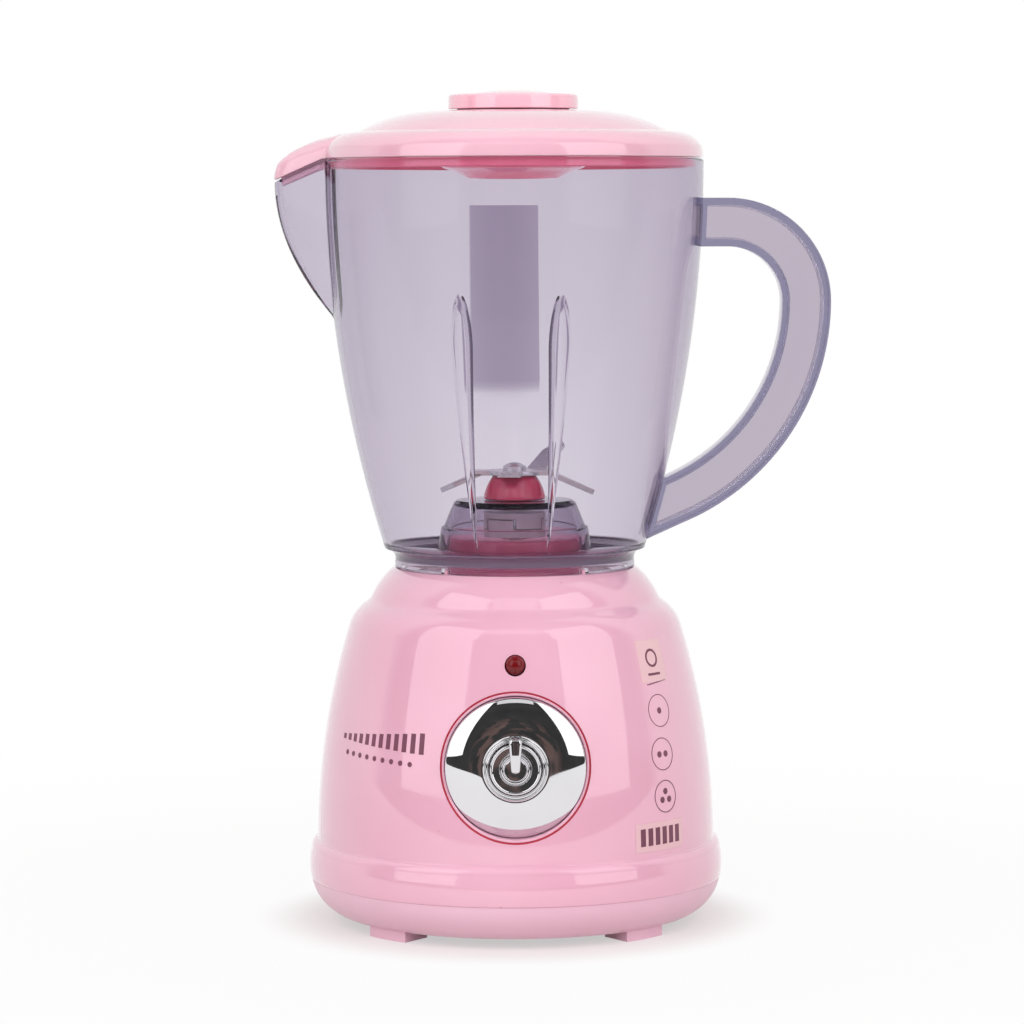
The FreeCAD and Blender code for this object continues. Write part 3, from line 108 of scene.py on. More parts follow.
def rgb(red, green, blue):  # colour as it looks on screen, turned into linear light
    shares = [value / 255 for value in (red, green, blue)]
    return tuple(v / 12.92 if v <= 0.04045 else ((v + 0.055) / 1.055) ** 2.4 for v in shares) + (1.0,)


def startFinish(name):
    finish = bpy.data.materials.new(name)
    finish.use_nodes = True
    finish.node_tree.nodes.clear()
    make = Wire(finish.node_tree)
    return finish, make, make.node("TexCoord", out="Object")


def noise(make, place, scale, detail, stretch=None):
    if stretch:
        place = make.node("Mapping", {"Vector": place, "Scale": stretch})
    return make.node("TexNoise", {"Vector": place, "Scale": scale, "Detail": detail}, out="Fac")


def specks(make, place, scale, size, share):
    # small round specks of dust, in only a share of the cells
    values = {"Vector": place, "Scale": scale}
    cell = make.node("TexVoronoi", values, out="Color")
    chosen = make.node("SeparateColor", {"Color": cell}, out="Red")
    return make.node("TexVoronoi", values, out="Distance").under(size) * chosen.under(share)


def bumped(make, height, strength, distance):
    return make.node("Bump", {"Height": height, "Strength": strength, "Distance": distance})


def fromAxis(make, place):
    # distance from the upright axis, and height
    across = make.node("VectorMath", {0: place, 1: (1, 1, 0)}, operation="MULTIPLY")
    radius = make.node("VectorMath", {0: across}, out="Value", operation="LENGTH")
    return radius, make.node("SeparateXYZ", {0: place}, out="Z")


plasticWear = {"cloud": 26, "mottle": 900, "scuffs": 60, "ripple": 75, "specks": 260, "speckSize": 0.055,
               "speckColour": rgb(150, 110, 112), "bump": 0.25, "depth": 0.0002}


def plasticFinish(name, look):
    w = plasticWear
    finish, make, place = startFinish(name)
    cloud = noise(make, place, w["cloud"], 2.0).between(0.3, 0.7)
    mottle = noise(make, place, w["mottle"], 4.0)
    dust = specks(make, place, w["specks"], w["speckSize"], look.get("dust", 0.035))
    colour = cloud.blend(rgb(*look["colour"]), rgb(*look["deeper"]))
    values = {}
    if "hidden" in look:
        # surfaces seen through the plastic, in a radius and between two heights: their deeper colour is
        # painted shade, and their faint emission is painted light
        hidden = look["hidden"]
        radius, level = fromAxis(make, place)
        paintedZone = radius.under(hidden["radius"]) * level.over(hidden["low"]) * level.under(hidden["high"])
        colour = paintedZone.blend(colour, rgb(*hidden["colour"]))
        values = {"Emission Color": paintedZone.blend((0, 0, 0, 1), hidden["glow"]), "Emission Strength": 1.0}
    scuffs = noise(make, place, w["scuffs"], 6.0, (1, 1, 9)).between(0.56, 0.75)
    height = noise(make, place, w["ripple"], 1.0) * 0.6 + mottle * look.get("grain", 0.05) + dust * 0.2
    values["Base Color"] = (dust * 0.75).blend(colour, w["speckColour"])
    values["Roughness"] = look["roughness"] + mottle * 0.05 + scuffs * 0.06 + dust * 0.3
    values["Normal"] = bumped(make, height, w["bump"], w["depth"])
    values.update(look.get("shader", {}))
    make.result("Material", Surface=make.node("BsdfPrincipled", values))
    return finish


metalWear = {"cloud": 60, "brush": 700, "ripple": 90, "specks": 420, "speckSize": 0.06, "speckShare": 0.05,
             "speckColour": rgb(160, 150, 145), "depth": 0.0001}


def metalFinish(name, look):
    w = metalWear
    finish, make, place = startFinish(name)
    cloud = noise(make, place, w["cloud"], 3.0).between(0.35, 0.7)
    brushed = noise(make, place, w["brush"], 5.0, look.get("brushing")) * look.get("brush", 0.04)
    dust = specks(make, place, w["specks"], w["speckSize"], w["speckShare"])
    colour = (dust * 0.6).blend(cloud.blend(look["colour"], look["deeper"]), w["speckColour"])
    height = brushed + noise(make, place, w["ripple"], 1.0) * look.get("ripple", 0.3)
    make.result("Material", Surface=make.node("BsdfPrincipled", {
        "Base Color": colour, "Roughness": look["roughness"] + brushed + cloud * 0.02 + dust * 0.35,
        "Metallic": look.get("metallic", 1.0),
        "Normal": bumped(make, height, look.get("bump", 0.12), w["depth"])}))
    return finish


clearWear = {"cloud": 17, "handling": 240, "ripple": 60, "specks": 120, "speckSize": 0.05,
             "speckShare": 0.03, "speckColour": rgb(70, 60, 66), "bump": 0.1, "depth": 0.0002,
             "gloss": (0.6, 0.6, 0.6, 1)}


def clearFinish(name, look):
    # closed solid walls: the tint comes from the depth of plastic that the light passes
    w = clearWear
    finish, make, place = startFinish(name)
    cloud = noise(make, place, w["cloud"], 1.5).between(0.35, 0.65)
    dust = specks(make, place, w["specks"], w["speckSize"], w["speckShare"])
    handling = noise(make, place, w["handling"], 5.0, (1, 1, 0.2)).between(0.55, 0.8)
    normal = bumped(make, noise(make, place, w["ripple"], 1.0) * 0.5, w["bump"], w["depth"])
    colour = cloud.blend(look["colour"], look["deeper"])
    if "boss" in look:
        # greyer towards the rim; the boss in the floor is darker and its lower step red: painted shade, and
        # painted reddish light from the pink under it
        boss = look["boss"]
        radius, level = fromAxis(make, place)
        colour = level.between(*look["rimRise"]).blend(colour, look["rimColour"])
        step = level.over(boss["step"]).blend(boss["stepColour"], boss["colour"])
        colour = radius.under(boss["radius"]).blend(colour, step)
    shader = make.node("BsdfPrincipled", {
        "Base Color": (dust * 0.9).blend(colour, w["speckColour"]), "IOR": look["ior"],
        "Roughness": look["roughness"] + handling * 0.03 + dust * 0.4,
        "Specular Tint": w["gloss"], "Transmission Weight": 1.0, "Normal": normal})
    if "through" in look:
        # a share of the light goes straight through
        straight = make.node("BsdfTransparent", {"Color": look["through"]})
        shader = make.node("MixShader", {0: look["straight"], 1: shader, 2: straight})
    if "heel" in look:
        # the thick bead at the foot of the wall is too deep to see through; its opaque violet-grey colour is
        # painted shade
        heel = look["heel"]
        inBead = radius.over(heel["radius"]) * level.between(*heel["foot"])
        inBead = inBead * (1 - level.between(*heel["top"]))
        bead = make.node("BsdfPrincipled", {
            "Base Color": (dust * 0.9).blend(heel["colour"], w["speckColour"]),
            "Roughness": 0.08 + handling * 0.05, "Normal": normal})
        shader = make.node("MixShader", {0: inBead * heel["share"], 1: shader, 2: bead})
    shadow = make.node("BsdfTransparent", {"Color": look["shadow"]})
    shadowRay = make.node("LightPath", out="Is Shadow Ray")
    depth = make.node("VolumeAbsorption", {"Color": look["absorbColour"], "Density": look["absorb"]})
    shader = make.node("MixShader", {0: shadowRay, 1: shader, 2: shadow})
    make.result("Material", Surface=shader, Volume=depth)
    return finish


def shades(colour, deeper, roughness, **more):
    return {"colour": colour, "deeper": deeper, "roughness": roughness, **more}


lacquer = {"Coat Weight": 1.0, "Coat Roughness": 0.02}
plasticLooks = {
    "pinkPlastic": shades((235, 181, 201), (232, 175, 196), 0.03,
                          shader={"Coat Weight": 0.8, "Coat Roughness": 0.02},
                          # round the drive boss under the jug: painted shade and a faint painted glow
                          hidden={"radius": 0.0286, "low": 0.0915, "high": 0.11, "colour": (226, 148, 168),
                                  "glow": (0.02, 0, 0, 1)}),
    # the cap's pink is set lighter to make up for light that its side lacks: painted light
    "capPlastic": shades((255, 200, 213), (253, 194, 209), 0.05, shader=lacquer),
    "lidPlastic": shades((240, 188, 205), (237, 182, 200), 0.05, shader=lacquer,
                         # the well under the lid: painted shade and a painted glow
                         hidden={"radius": 0.0473, "low": 0.15, "high": 0.1972, "colour": (240, 132, 158),
                                 "glow": (0.2, 0.02, 0.035, 1)}),
    "lightPinkPlastic": shades((237, 196, 213), (234, 190, 208), 0.28),
    "redPlastic": shades((200, 74, 104), (190, 64, 92), 0.16),
    "whitePlastic": shades((232, 230, 224), (224, 221, 214), 0.34),
    "greyPlastic": shades((112, 108, 118), (100, 97, 106), 0.4),
    "blackPlastic": shades((34, 34, 37), (26, 26, 29), 0.36),
    "ferrite": shades((62, 60, 62), (48, 47, 50), 0.62, grain=0.5),
    "cellJacket": shades((44, 104, 88), (36, 92, 78), 0.22),
    "redWire": shades((188, 34, 38), (170, 26, 32), 0.45),
    "blackWire": shades((32, 32, 34), (24, 24, 26), 0.45),
    "whiteWire": shades((226, 224, 218), (214, 211, 204), 0.45),
    "printInk": shades((122, 66, 88), (110, 58, 78), 0.38, dust=0.0, grain=0.3),
    "paleLabel": shades((236, 196, 200), (231, 190, 196), 0.3, dust=0.0),
    "redLens": shades((130, 9, 18), (114, 7, 15), 0.16, dust=0.0,
                      shader={"Transmission Weight": 0.1, "IOR": 1.46}),
    # dark red painted shade for the narrow gap round the dial
    "sealRed": shades((186, 48, 70), (176, 42, 62), 0.35, dust=0.0),
}
metalLooks = {
    "chromedPlastic": shades((0.79, 0.78, 0.8, 1), (0.76, 0.75, 0.775, 1), 0.02, brush=0.012, ripple=0.25,
                             bump=0.08),
    "silverPlastic": shades((0.6, 0.59, 0.62, 1), (0.53, 0.52, 0.56, 1), 0.24, metallic=0.8),
    "zincSteel": shades((0.68, 0.68, 0.7, 1), (0.6, 0.61, 0.64, 1), 0.24, brush=0.12),
    "brightSteel": shades((0.7, 0.7, 0.71, 1), (0.63, 0.63, 0.65, 1), 0.14, brush=0.1,
                          brushing=(1, 1, 0.08)),
    "brass": shades((0.78, 0.58, 0.26, 1), (0.68, 0.48, 0.2, 1), 0.2, brush=0.1),
    "copperWinding": shades((0.68, 0.3, 0.15, 1), (0.5, 0.2, 0.1, 1), 0.28, brush=0.2,
                            brushing=(0.2, 0.2, 6)),
}
clearLooks = {
    "clearPlastic": shades((0.99, 0.985, 0.995, 1), (0.99, 0.97, 0.98, 1), 0.012, ior=1.24,
                           absorbColour=(0.3, 0.2, 0.395, 1), absorb=185.0, shadow=(0.93, 0.92, 0.94, 1),
                           rimRise=(0.1, 0.2), rimColour=(0.925, 0.905, 0.935, 1),
                           boss={"radius": 0.0212, "colour": (0.88, 0.85, 0.88, 1), "step": 0.1008,
                                 "stepColour": (0.98, 0.69, 0.76, 1)},
                           heel={"radius": 0.03, "foot": (0.0938, 0.0941), "top": (0.0971, 0.0975),
                                 "colour": rgb(128, 112, 136), "share": 0.66}),
    "clearHandle": shades((0.62, 0.55, 0.605, 1), (0.59, 0.52, 0.58, 1), 0.02, ior=1.3,
                          absorbColour=(0.443, 0.488, 0.672, 1), absorb=120.0, shadow=(0.9, 0.88, 0.9, 1),
                          straight=0.3, through=(0.79, 0.735, 0.785, 1)),
}
finishes = {}
for maker, looks in ((plasticFinish, plasticLooks), (metalFinish, metalLooks), (clearFinish, clearLooks)):
    finishes.update({name: maker(name, look) for name, look in looks.items()})
print("finishes made:", len(finishes))


def finishOf(slot):  # pink_plastic has the finish pinkPlastic
    first, *others = slot.split("_")
    return finishes[first + "".join(word.title() for word in others)]


for part in frame["record"]["subparts"]:
    carried = frame["nodes"][part["node"]]
    carried.data.materials.clear()
    carried.data.materials.append(finishOf(part["material_slot"]))


# shapes are drawn in millimetres, and turned into metres when a piece is made

def meshOf(points, faces, name="work", unit=1.0):
    mesh = bpy.data.meshes.new(name)
    mesh.from_pydata([(x * unit, y * unit, z * unit) for x, y, z in points], [], faces)
    work = bmesh.new()
    work.from_mesh(mesh)
    bmesh.ops.remove_doubles(work, verts=work.verts, dist=1e-4 * unit)
    bmesh.ops.dissolve_degenerate(work, edges=work.edges, dist=1e-5 * unit)
    bmesh.ops.recalc_face_normals(work, faces=work.faces)
    work.to_mesh(mesh)
    work.free()
    return mesh


def addPiece(name, points, faces, body, slot, standsFor=None, finish=None, sharp=38):
    placePiece(name, meshOf(points, faces, name, mm), body, slot, standsFor, finish, sharp)


def placePiece(name, mesh, body, slot, standsFor=None, finish=None, sharp=38):
    mesh.shade_smooth()
    mesh.set_sharp_from_angle(angle=math.radians(sharp))
    mesh.materials.clear()
    mesh.materials.append(finishes[finish] if finish else finishOf(slot))
    piece = bpy.data.objects.new(name, mesh)
    bpy.context.scene.collection.objects.link(piece)
    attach(piece, body)
    if standsFor:
        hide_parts(standsFor)


def toward(start, end, share):
    return tuple(a + (b - a) * share for a, b in zip(start, end))


def bowPoints(start, end, bow, count):
    # points after start along an arc; a positive bow lies to the right of the way
    if abs(bow) < tiny:
        return [end]
    run, rise = end[0] - start[0], end[1] - start[1]
    chord = math.hypot(run, rise)
    radius = (chord ** 2 / 4 + bow ** 2) / (2 * abs(bow))
    half = math.asin(min(1.0, chord / (2 * radius)))
    side = math.copysign(1, bow)
    outward, onward = (side * rise / chord, -side * run / chord), (run / chord, rise / chord)
    centre = [(start[i] + end[i]) / 2 - outward[i] * (radius - abs(bow)) for i in (0, 1)]
    angles = [half * (2 * i / count - 1) for i in range(1, count + 1)]
    return [tuple(centre[i] + radius * (math.cos(angle) * outward[i] + math.sin(angle) * onward[i])
                  for i in (0, 1)) for angle in angles]


def cutBack(points, length):
    # drops a length from the end of a run of points
    points = list(points)
    while len(points) > 1:
        gap = math.dist(points[-1], points[-2])
        if gap > length:
            points[-1] = toward(points[-1], points[-2], length / gap)
            return points
        length -= gap
        points.pop()
    return points


def bendPoints(start, corner, end, turn):
    # a smooth curve round a corner, without its ends
    pull = 4 / 3 * math.tan(turn / 4) / math.tan(turn / 2)
    controls = (start, toward(start, corner, pull), toward(end, corner, pull), end)
    count = max(4, int(math.degrees(turn) / 11))
    points = []
    for step in range(1, count):
        t = step / count
        weights = ((1 - t) ** 3, 3 * t * (1 - t) ** 2, 3 * t * t * (1 - t), t ** 3)
        pairs = list(zip(weights, controls))
        points.append(tuple(sum(weight * point[i] for weight, point in pairs) for i in (0, 1)))
    return points


def outline(steps, closed=False, fineness=1.2):
    # steps are (a, b), (a, b, bow) or (a, b, bow, rounding); each corner is rounded by its rounding
    steps = [tuple(step) + (0.0,) * (4 - len(step)) for step in steps]
    if closed:
        steps.append(steps[0])
    spans = []
    for start, end in zip(steps, steps[1:]):
        count = max(8, int(math.dist(start[:2], end[:2]) / fineness))
        spans.append([start[:2]] + bowPoints(start[:2], end[:2], end[2], count))
    bends = {}
    for index in range(0 if closed else 1, len(spans)):
        rounding = steps[index][3]
        if rounding < tiny:
            continue
        before, after = spans[index - 1], spans[index]
        corner = after[0]
        wayIn, wayOut = (Vector((end[0] - start[0], end[1] - start[1])).normalized()
                         for start, end in ((before[-2], corner), (corner, after[1])))
        turn = wayIn.angle(wayOut)
        if turn < 0.02:
            continue
        reach = rounding * math.tan(turn / 2)
        spans[index - 1] = cutBack(before, reach)
        spans[index] = cutBack(after[::-1], reach)[::-1]
        bends[index] = (spans[index - 1][-1], corner, spans[index][0], turn)
    points = []
    for index, span in enumerate(spans):
        if index in bends:
            points += bendPoints(*bends[index])
        points += span if not points or math.dist(points[-1], span[0]) > tiny else span[1:]
    if closed and math.dist(points[0], points[-1]) < tiny:
        points.pop()
    return points


def polarPoint(radius, angle, height):
    return (radius * math.cos(angle), radius * math.sin(angle), height)


def ringFaces(columns, rows, closedRows=True):
    # faces of a grid of points stored column by column; columns run right round
    faces = []
    for column in range(columns):
        here, there = column * rows, (column + 1) % columns * rows
        for row in range(rows if closedRows else rows - 1):
            above = (row + 1) % rows
            faces.append((here + row, there + row, there + above, here + above))
    return faces


def tube(rings):
    # a run of rings, closed by a face at each end
    count = len(rings[0])
    faces = []
    for start in range(0, count * (len(rings) - 1), count):
        for step in range(count):
            other = (step + 1) % count
            faces.append((start + step, start + other, start + count + other, start + count + step))
    last = count * (len(rings) - 1)
    faces += [tuple(range(count)), tuple(range(last, last + count))]
    return [point for ring in rings for point in ring], faces


def forward(points, level):
    # points about Z become points about the line along -Y at a level
    return [(x, -z, y + level) for x, y, z in points]


def lathe(profile, segments, closed=False, level=None):
    # turns a profile of (radius, height) about Z, or about the line along -Y at a level
    points = []
    for step in range(segments):
        angle = 2 * math.pi * step / segments
        points += [polarPoint(radius, angle, height) for radius, height in profile]
    return points if level is None else forward(points, level), ringFaces(segments, len(profile), closed)


def combined(base, changes):
    # a mesh with other meshes joined to it or cut from it; changes are (operation, mesh)
    things = []
    for mesh in [base] + [mesh for _, mesh in changes]:
        things.append(bpy.data.objects.new("work", mesh))
        bpy.context.scene.collection.objects.link(things[-1])
    for (operation, _), helper in zip(changes, things[1:]):
        change = things[0].modifiers.new("work", "BOOLEAN")
        change.operation = operation
        change.solver = "EXACT"
        change.object = helper
    graph = bpy.context.evaluated_depsgraph_get()
    result = bpy.data.meshes.new_from_object(things[0].evaluated_get(graph))
    for thing in things:
        bpy.data.objects.remove(thing)
    return result


def takeMesh(work):
    mesh = bpy.data.meshes.new("work")
    work.to_mesh(mesh)
    work.free()
    return mesh


def turnAbout(work, degrees, axis, verts, centre=(0, 0, 0)):
    bmesh.ops.rotate(work, cent=centre, matrix=Matrix.Rotation(math.radians(degrees), 3, axis), verts=verts)


# pairs are (radius, level), lengths along the dial's line count from the upright axis
housing = {"seam": 11.6, "flange": (53.45, 21.4), "wallFoot": 51.55, "shoulder": (43.0, 77.3),
           "neck": (37.6, 83.6), "seat": (31.4, 92.0), "boss": (17.8, 99.6), "wall": 2.2,
           "seatThickness": 2.4, "bossWall": 2.0,
           "wallBow": 2.1, "shoulderBow": 0.8, "neckBow": 0.7, "shaftBore": 3.18, "front": 60,
           "dialLevel": 46.0, "recess": 18.85, "recessDepth": 44.57, "cupWall": 2.1, "knobBore": 3.0,
           "lampLevel": 71.1, "lampBore": 2.65, "lampBoss": 4.6, "lampBack": 36.2, "lampFlangeFront": 38.8,
           "lampCounterbore": 3.1, "lugSize": 1.2, "lugRadius": 29.85}
lugDegrees = (-125, -55, 55, 125)  # lugs on the seat in notches of the jug, which keep it from turning


def bowedWall(height, foot, head, bow):
    share = (height - foot[1]) / (head[1] - foot[1])
    return foot[0] + (head[0] - foot[0]) * share + bow * (1 - (2 * share - 1) ** 2)


def housingWall(height):
    foot = (housing["wallFoot"], housing["flange"][1])
    return bowedWall(height, foot, housing["shoulder"], housing["wallBow"])


def plug(radius, back, front):
    return [(0, back), (radius, back), (radius, front), (0, front)]


def makeHousing():
    h = housing
    (flange, flangeTop), (seat, seatLevel), (boss, bossTop) = h["flange"], h["seat"], h["boss"]
    (shoulder, shoulderLevel), (neck, neckLevel) = h["shoulder"], h["neck"]
    seam, foot, wall, bore, lug = h["seam"], h["wallFoot"], h["wall"], h["shaftBore"], h["lugSize"]
    seatUnder, bossUnder = seatLevel - h["seatThickness"], bossTop - h["bossWall"]
    bossIn = boss - h["bossWall"]
    steps = [
        (flange - wall, seam), (flange, seam, 0, 0.35), (flange - 0.3, flangeTop - 1.9, 0.4, 1.6),
        (foot + 0.5, flangeTop, 0.3, 0.5), (foot, flangeTop + 0.1, 0, 0.5),
        (shoulder, shoulderLevel, h["wallBow"], 5.0), (neck, neckLevel, h["shoulderBow"], 3.5),
        (seat, seatLevel, h["neckBow"], 1.1), (boss + 0.1, seatLevel, 0, 0.5),
        (boss - 0.8, bossTop - 1, 0, 0.6), (boss - 1.9, bossTop, 0.3, 0.5), (bore, bossTop, 0, 0.2),
        (bore, bossUnder), (bossIn - 1, bossUnder), (bossIn, seatUnder), (seat - wall, seatUnder),
        (neck - wall, neckLevel - 1, -h["neckBow"]), (shoulder - wall, shoulderLevel, -h["shoulderBow"]),
        (foot - wall, flangeTop, -h["wallBow"]), (flange - wall, flangeTop - wall)]
    shell = meshOf(*lathe(outline(steps, closed=True, fineness=1.0), 240, closed=True))
    # cup behind the dial and boss behind the lamp, trimmed where the outer wall is
    inside = outline([(0, seam), (foot - 0.6, seam), (foot - 0.6, flangeTop),
                      (shoulder - 0.6, shoulderLevel, h["wallBow"]), (0, shoulderLevel)])
    trimmer = meshOf(*lathe(inside, 120))
    front, depth = h["front"], h["recessDepth"]
    cup = plug(h["recess"] + h["cupWall"], depth - h["cupWall"], front)
    lampBoss = plug(h["lampBoss"], h["lampBack"], front)
    changes = []
    for profile, level in ((cup, h["dialLevel"]), (lampBoss, h["lampLevel"])):
        backing = meshOf(*lathe(profile, 96, level=level))
        changes.append(("UNION", combined(backing, [("INTERSECT", trimmer)])))
    recess = outline([(0, depth), (h["recess"], depth, 0, 0.4), (h["recess"], front), (0, front)])
    lampHole = (plug(h["lampCounterbore"], h["lampBack"] - 2, h["lampFlangeFront"])[:3]
                + plug(h["lampBore"], h["lampFlangeFront"], front)[1:])
    for profile, level, segments in ((recess, h["dialLevel"], 180), (lampHole, h["lampLevel"], 64),
                                     (plug(h["knobBore"], 30, depth + 1), h["dialLevel"], 48)):
        changes.append(("DIFFERENCE", meshOf(*lathe(profile, segments, level=level))))
    for degrees in lugDegrees:
        work = bmesh.new()
        bmesh.ops.create_cube(work, size=1.0)
        bmesh.ops.scale(work, vec=(1.1, lug, lug + 0.6), verts=work.verts)
        bmesh.ops.bevel(work, geom=work.edges, offset=0.18, segments=2, affect="EDGES")
        bmesh.ops.translate(work, vec=(h["lugRadius"], 0, seatLevel + lug / 2 - 0.3), verts=work.verts)
        turnAbout(work, degrees, "Z", work.verts)
        changes.append(("UNION", takeMesh(work)))
    mesh = combined(shell, changes)
    mesh.transform(Matrix.Scale(mm, 4))
    placePiece("housingShell", mesh, "base", "pink_plastic", "upper_housing", sharp=30)


bezel = {"inner": 17.7, "outer": 18.36, "proud": 0.12, "sealOuter": 18.84, "sealUnder": 0.06,
         "segments": 220}


def makeBezel():
    # two rings round the dial: a pink one, and outside it a thin dark red ring that is painted shade in the
    # gap round the dial, level with the wall
    back, level = housing["recessDepth"], housing["dialLevel"]
    inner, outer, sealOuter = bezel["inner"], bezel["outer"], bezel["sealOuter"]

    def wallFront(radius, angle):
        # how far forward the housing's wall lies at a place round the dial
        side, height = radius * math.cos(angle), level + radius * math.sin(angle)
        return math.sqrt(housingWall(height) ** 2 - side ** 2)

    rings, gapShadeRings = [], []
    for step in range(bezel["segments"]):
        angle = 2 * math.pi * step / bezel["segments"]
        front = wallFront(outer, angle) + bezel["proud"]
        ring = outline([(inner, back), (outer, back), (outer, front, 0, 0.25),
                        (inner, front - 0.05, 0, 0.25)], closed=True)
        rings.append([polarPoint(radius, angle, height) for radius, height in ring])
        front = wallFront(sealOuter, angle) - bezel["sealUnder"]
        gapShadeRing = [(outer + 0.01, back), (sealOuter, back), (sealOuter, front), (outer + 0.01, front)]
        gapShadeRings.append([polarPoint(radius, angle, height) for radius, height in gapShadeRing])
    for name, columns, slot, finish in (("dialBezel", rings, "pink_plastic", None),
                                        ("dialSeal", gapShadeRings, "red_plastic", "sealRed")):
        points = [point for column in columns for point in column]
        addPiece(name, forward(points, level), ringFaces(len(columns), len(columns[0])), "base", slot,
                 finish=finish)


makeHousing()
makeBezel()
print("housing made")

dial = {"edge": 17.55, "rimFront": 48.6, "domeFoot": 8.6, "domeSteps": 36, "collarRadius": 8.1,
        "collarFace": 51.5, "pocketRadius": 6.65, "pocketBack": 46.27, "shaftBore": 2.8}


def domeLine(edge, front, foot, steps):
    # from the rim inwards: nearly flat round the collar, steeper and steeper towards the rim
    line, radius, height = [(edge, front)], edge, front
    step = (edge - foot) / steps
    for _ in range(steps):
        share = (radius - step / 2 - foot) / (edge - foot)
        height += step * math.tan(math.radians(3.5 + 28 * share ** 1.3))
        radius -= step
        line.append((radius, height))
    return line


def makeDial():
    d = dial
    edge, front, bore, back = d["edge"], d["rimFront"], d["shaftBore"], housing["recessDepth"]
    collar, face, pocket, pocketBack = d["collarRadius"], d["collarFace"], d["pocketRadius"], d["pocketBack"]
    rim = outline([(bore, pocketBack), (bore, back), (edge, back, 0, 0.2), (edge, front - 0.3),
                   (edge - 0.12, front)], fineness=0.6)
    dome = domeLine(edge - 0.2, front + 0.08, d["domeFoot"], d["domeSteps"])
    middle = outline([
        (collar + 0.05, dome[-1][1] + 0.02), (collar, face - 0.35, 0, 0.2),
        (collar - 0.35, face, 0.08, 0.2), (pocket + 0.7, face - 0.3, 0, 0.2),
        (pocket + 0.3, face - 0.1, 0.05, 0.2), (pocket, face - 0.4, 0, 0.15), (pocket, pocketBack)],
        fineness=0.4)
    points, faces = lathe(rim + dome + middle, 256, closed=True, level=housing["dialLevel"])
    addPiece("dialDisc", points, faces, "base", "chromed_plastic", "dial_disc")


knob = {"radius": 6.4, "back": 46.57, "face": 52.37, "shaftRadius": 2.5, "shaftBack": 39.47,
        "screwBore": 1.0, "screwDepth": 6, "groove": 0.55, "barLength": 8.2, "barTail": 0.9,
        "barWidth": 3.3, "barHeight": 2.2, "barBack": 0.7, "barRows": 30, "barAround": 24}


def makeKnob():
    k = knob
    edge, face, back, bore, shaft, shaftBack = (k[name] for name in (
        "radius", "face", "back", "screwBore", "shaftRadius", "shaftBack"))
    level, groove, screwEnd = housing["dialLevel"], face - k["groove"], shaftBack + k["screwDepth"]
    steps = [
        (bore, shaftBack), (shaft, shaftBack, 0, 0.2), (shaft, back, 0, 0.2), (edge, back, 0, 0.2),
        (edge, face - 0.5, 0, 0.3), (edge - 0.5, face, 0.12, 0.25), (edge - 0.75, face - 0.2, 0, 0.12),
        (edge - 2.35, face - 0.17, 0, 0.1), (edge - 2.5, groove, 0, 0.1), (edge - 2.7, groove, 0, 0.1),
        (edge - 2.8, face, 0, 0.25), (edge - 3.4, face, 0.1, 0.25), (edge - 3.6, face - 0.4, 0, 0.15),
        (0, face - 0.38), (0, screwEnd), (bore, screwEnd)]
    disc = meshOf(*lathe(outline(steps, closed=True, fineness=0.5), 160, closed=True, level=level))
    # the upright bar is a rounded form, narrower at its foot
    rings = []
    for row in range(k["barRows"] + 1):
        share = row / k["barRows"]
        z = level - k["barTail"] + (k["barLength"] + k["barTail"]) * share
        taper = 0.62 + 0.38 * min(1, share * 1.15)
        tip, tail = max(0, (share - 0.84) / 0.16), max(0, (0.1 - share) / 0.1)
        end = max(math.sqrt(max(0.0, 1 - tip ** 2)) * math.sqrt(max(0.0, 1 - tail ** 2)), 0.02)
        half = k["barWidth"] / 2 * taper * end
        tall = k["barHeight"] * end ** 0.5 * (1 - 0.5 * max(0.0, 0.5 - share) / 0.5)
        ring = []
        for step in range(k["barAround"]):
            angle = 2 * math.pi * step / k["barAround"]
            across, out = math.cos(angle), math.sin(angle)
            across = math.copysign(abs(across) ** 0.45, across)
            out = math.copysign(abs(out) ** 0.32, out)
            ring.append((half * across, -(face + out * (tall if out > 0 else k["barBack"])), z))
        rings.append(ring)
    mesh = combined(disc, [("UNION", meshOf(*tube(rings)))])
    mesh.transform(Matrix.Scale(mm, 4))
    placePiece("knobWithBar", mesh, "knob", "chromed_plastic", "selector_knob", sharp=42)


lamp = {"radius": 2.5, "flange": 2.95, "flangeHeight": 1, "back": 37.81, "tip": 46.41, "domeSteps": 14}


def makeLamp():
    radius, flange, back = lamp["radius"], lamp["flange"], lamp["back"]
    centre, flangeTop = lamp["tip"] - radius, back + lamp["flangeHeight"]
    angles = [math.pi / 2 * i / lamp["domeSteps"] for i in range(1, lamp["domeSteps"] + 1)]
    dome = [(radius * math.cos(angle), centre + radius * math.sin(angle)) for angle in angles]
    steps = [(0, back), (flange, back, 0, 0.15), (flange, flangeTop, 0, 0.15), (radius, flangeTop, 0, 0.1),
             (radius, centre)]
    points, faces = lathe(outline(steps) + dome, 64, level=housing["lampLevel"])
    addPiece("lampLens", points, faces, "base", "red_plastic", "lamp", "redLens")


makeDial()
makeKnob()
makeLamp()
print("dial, knob and lamp made")

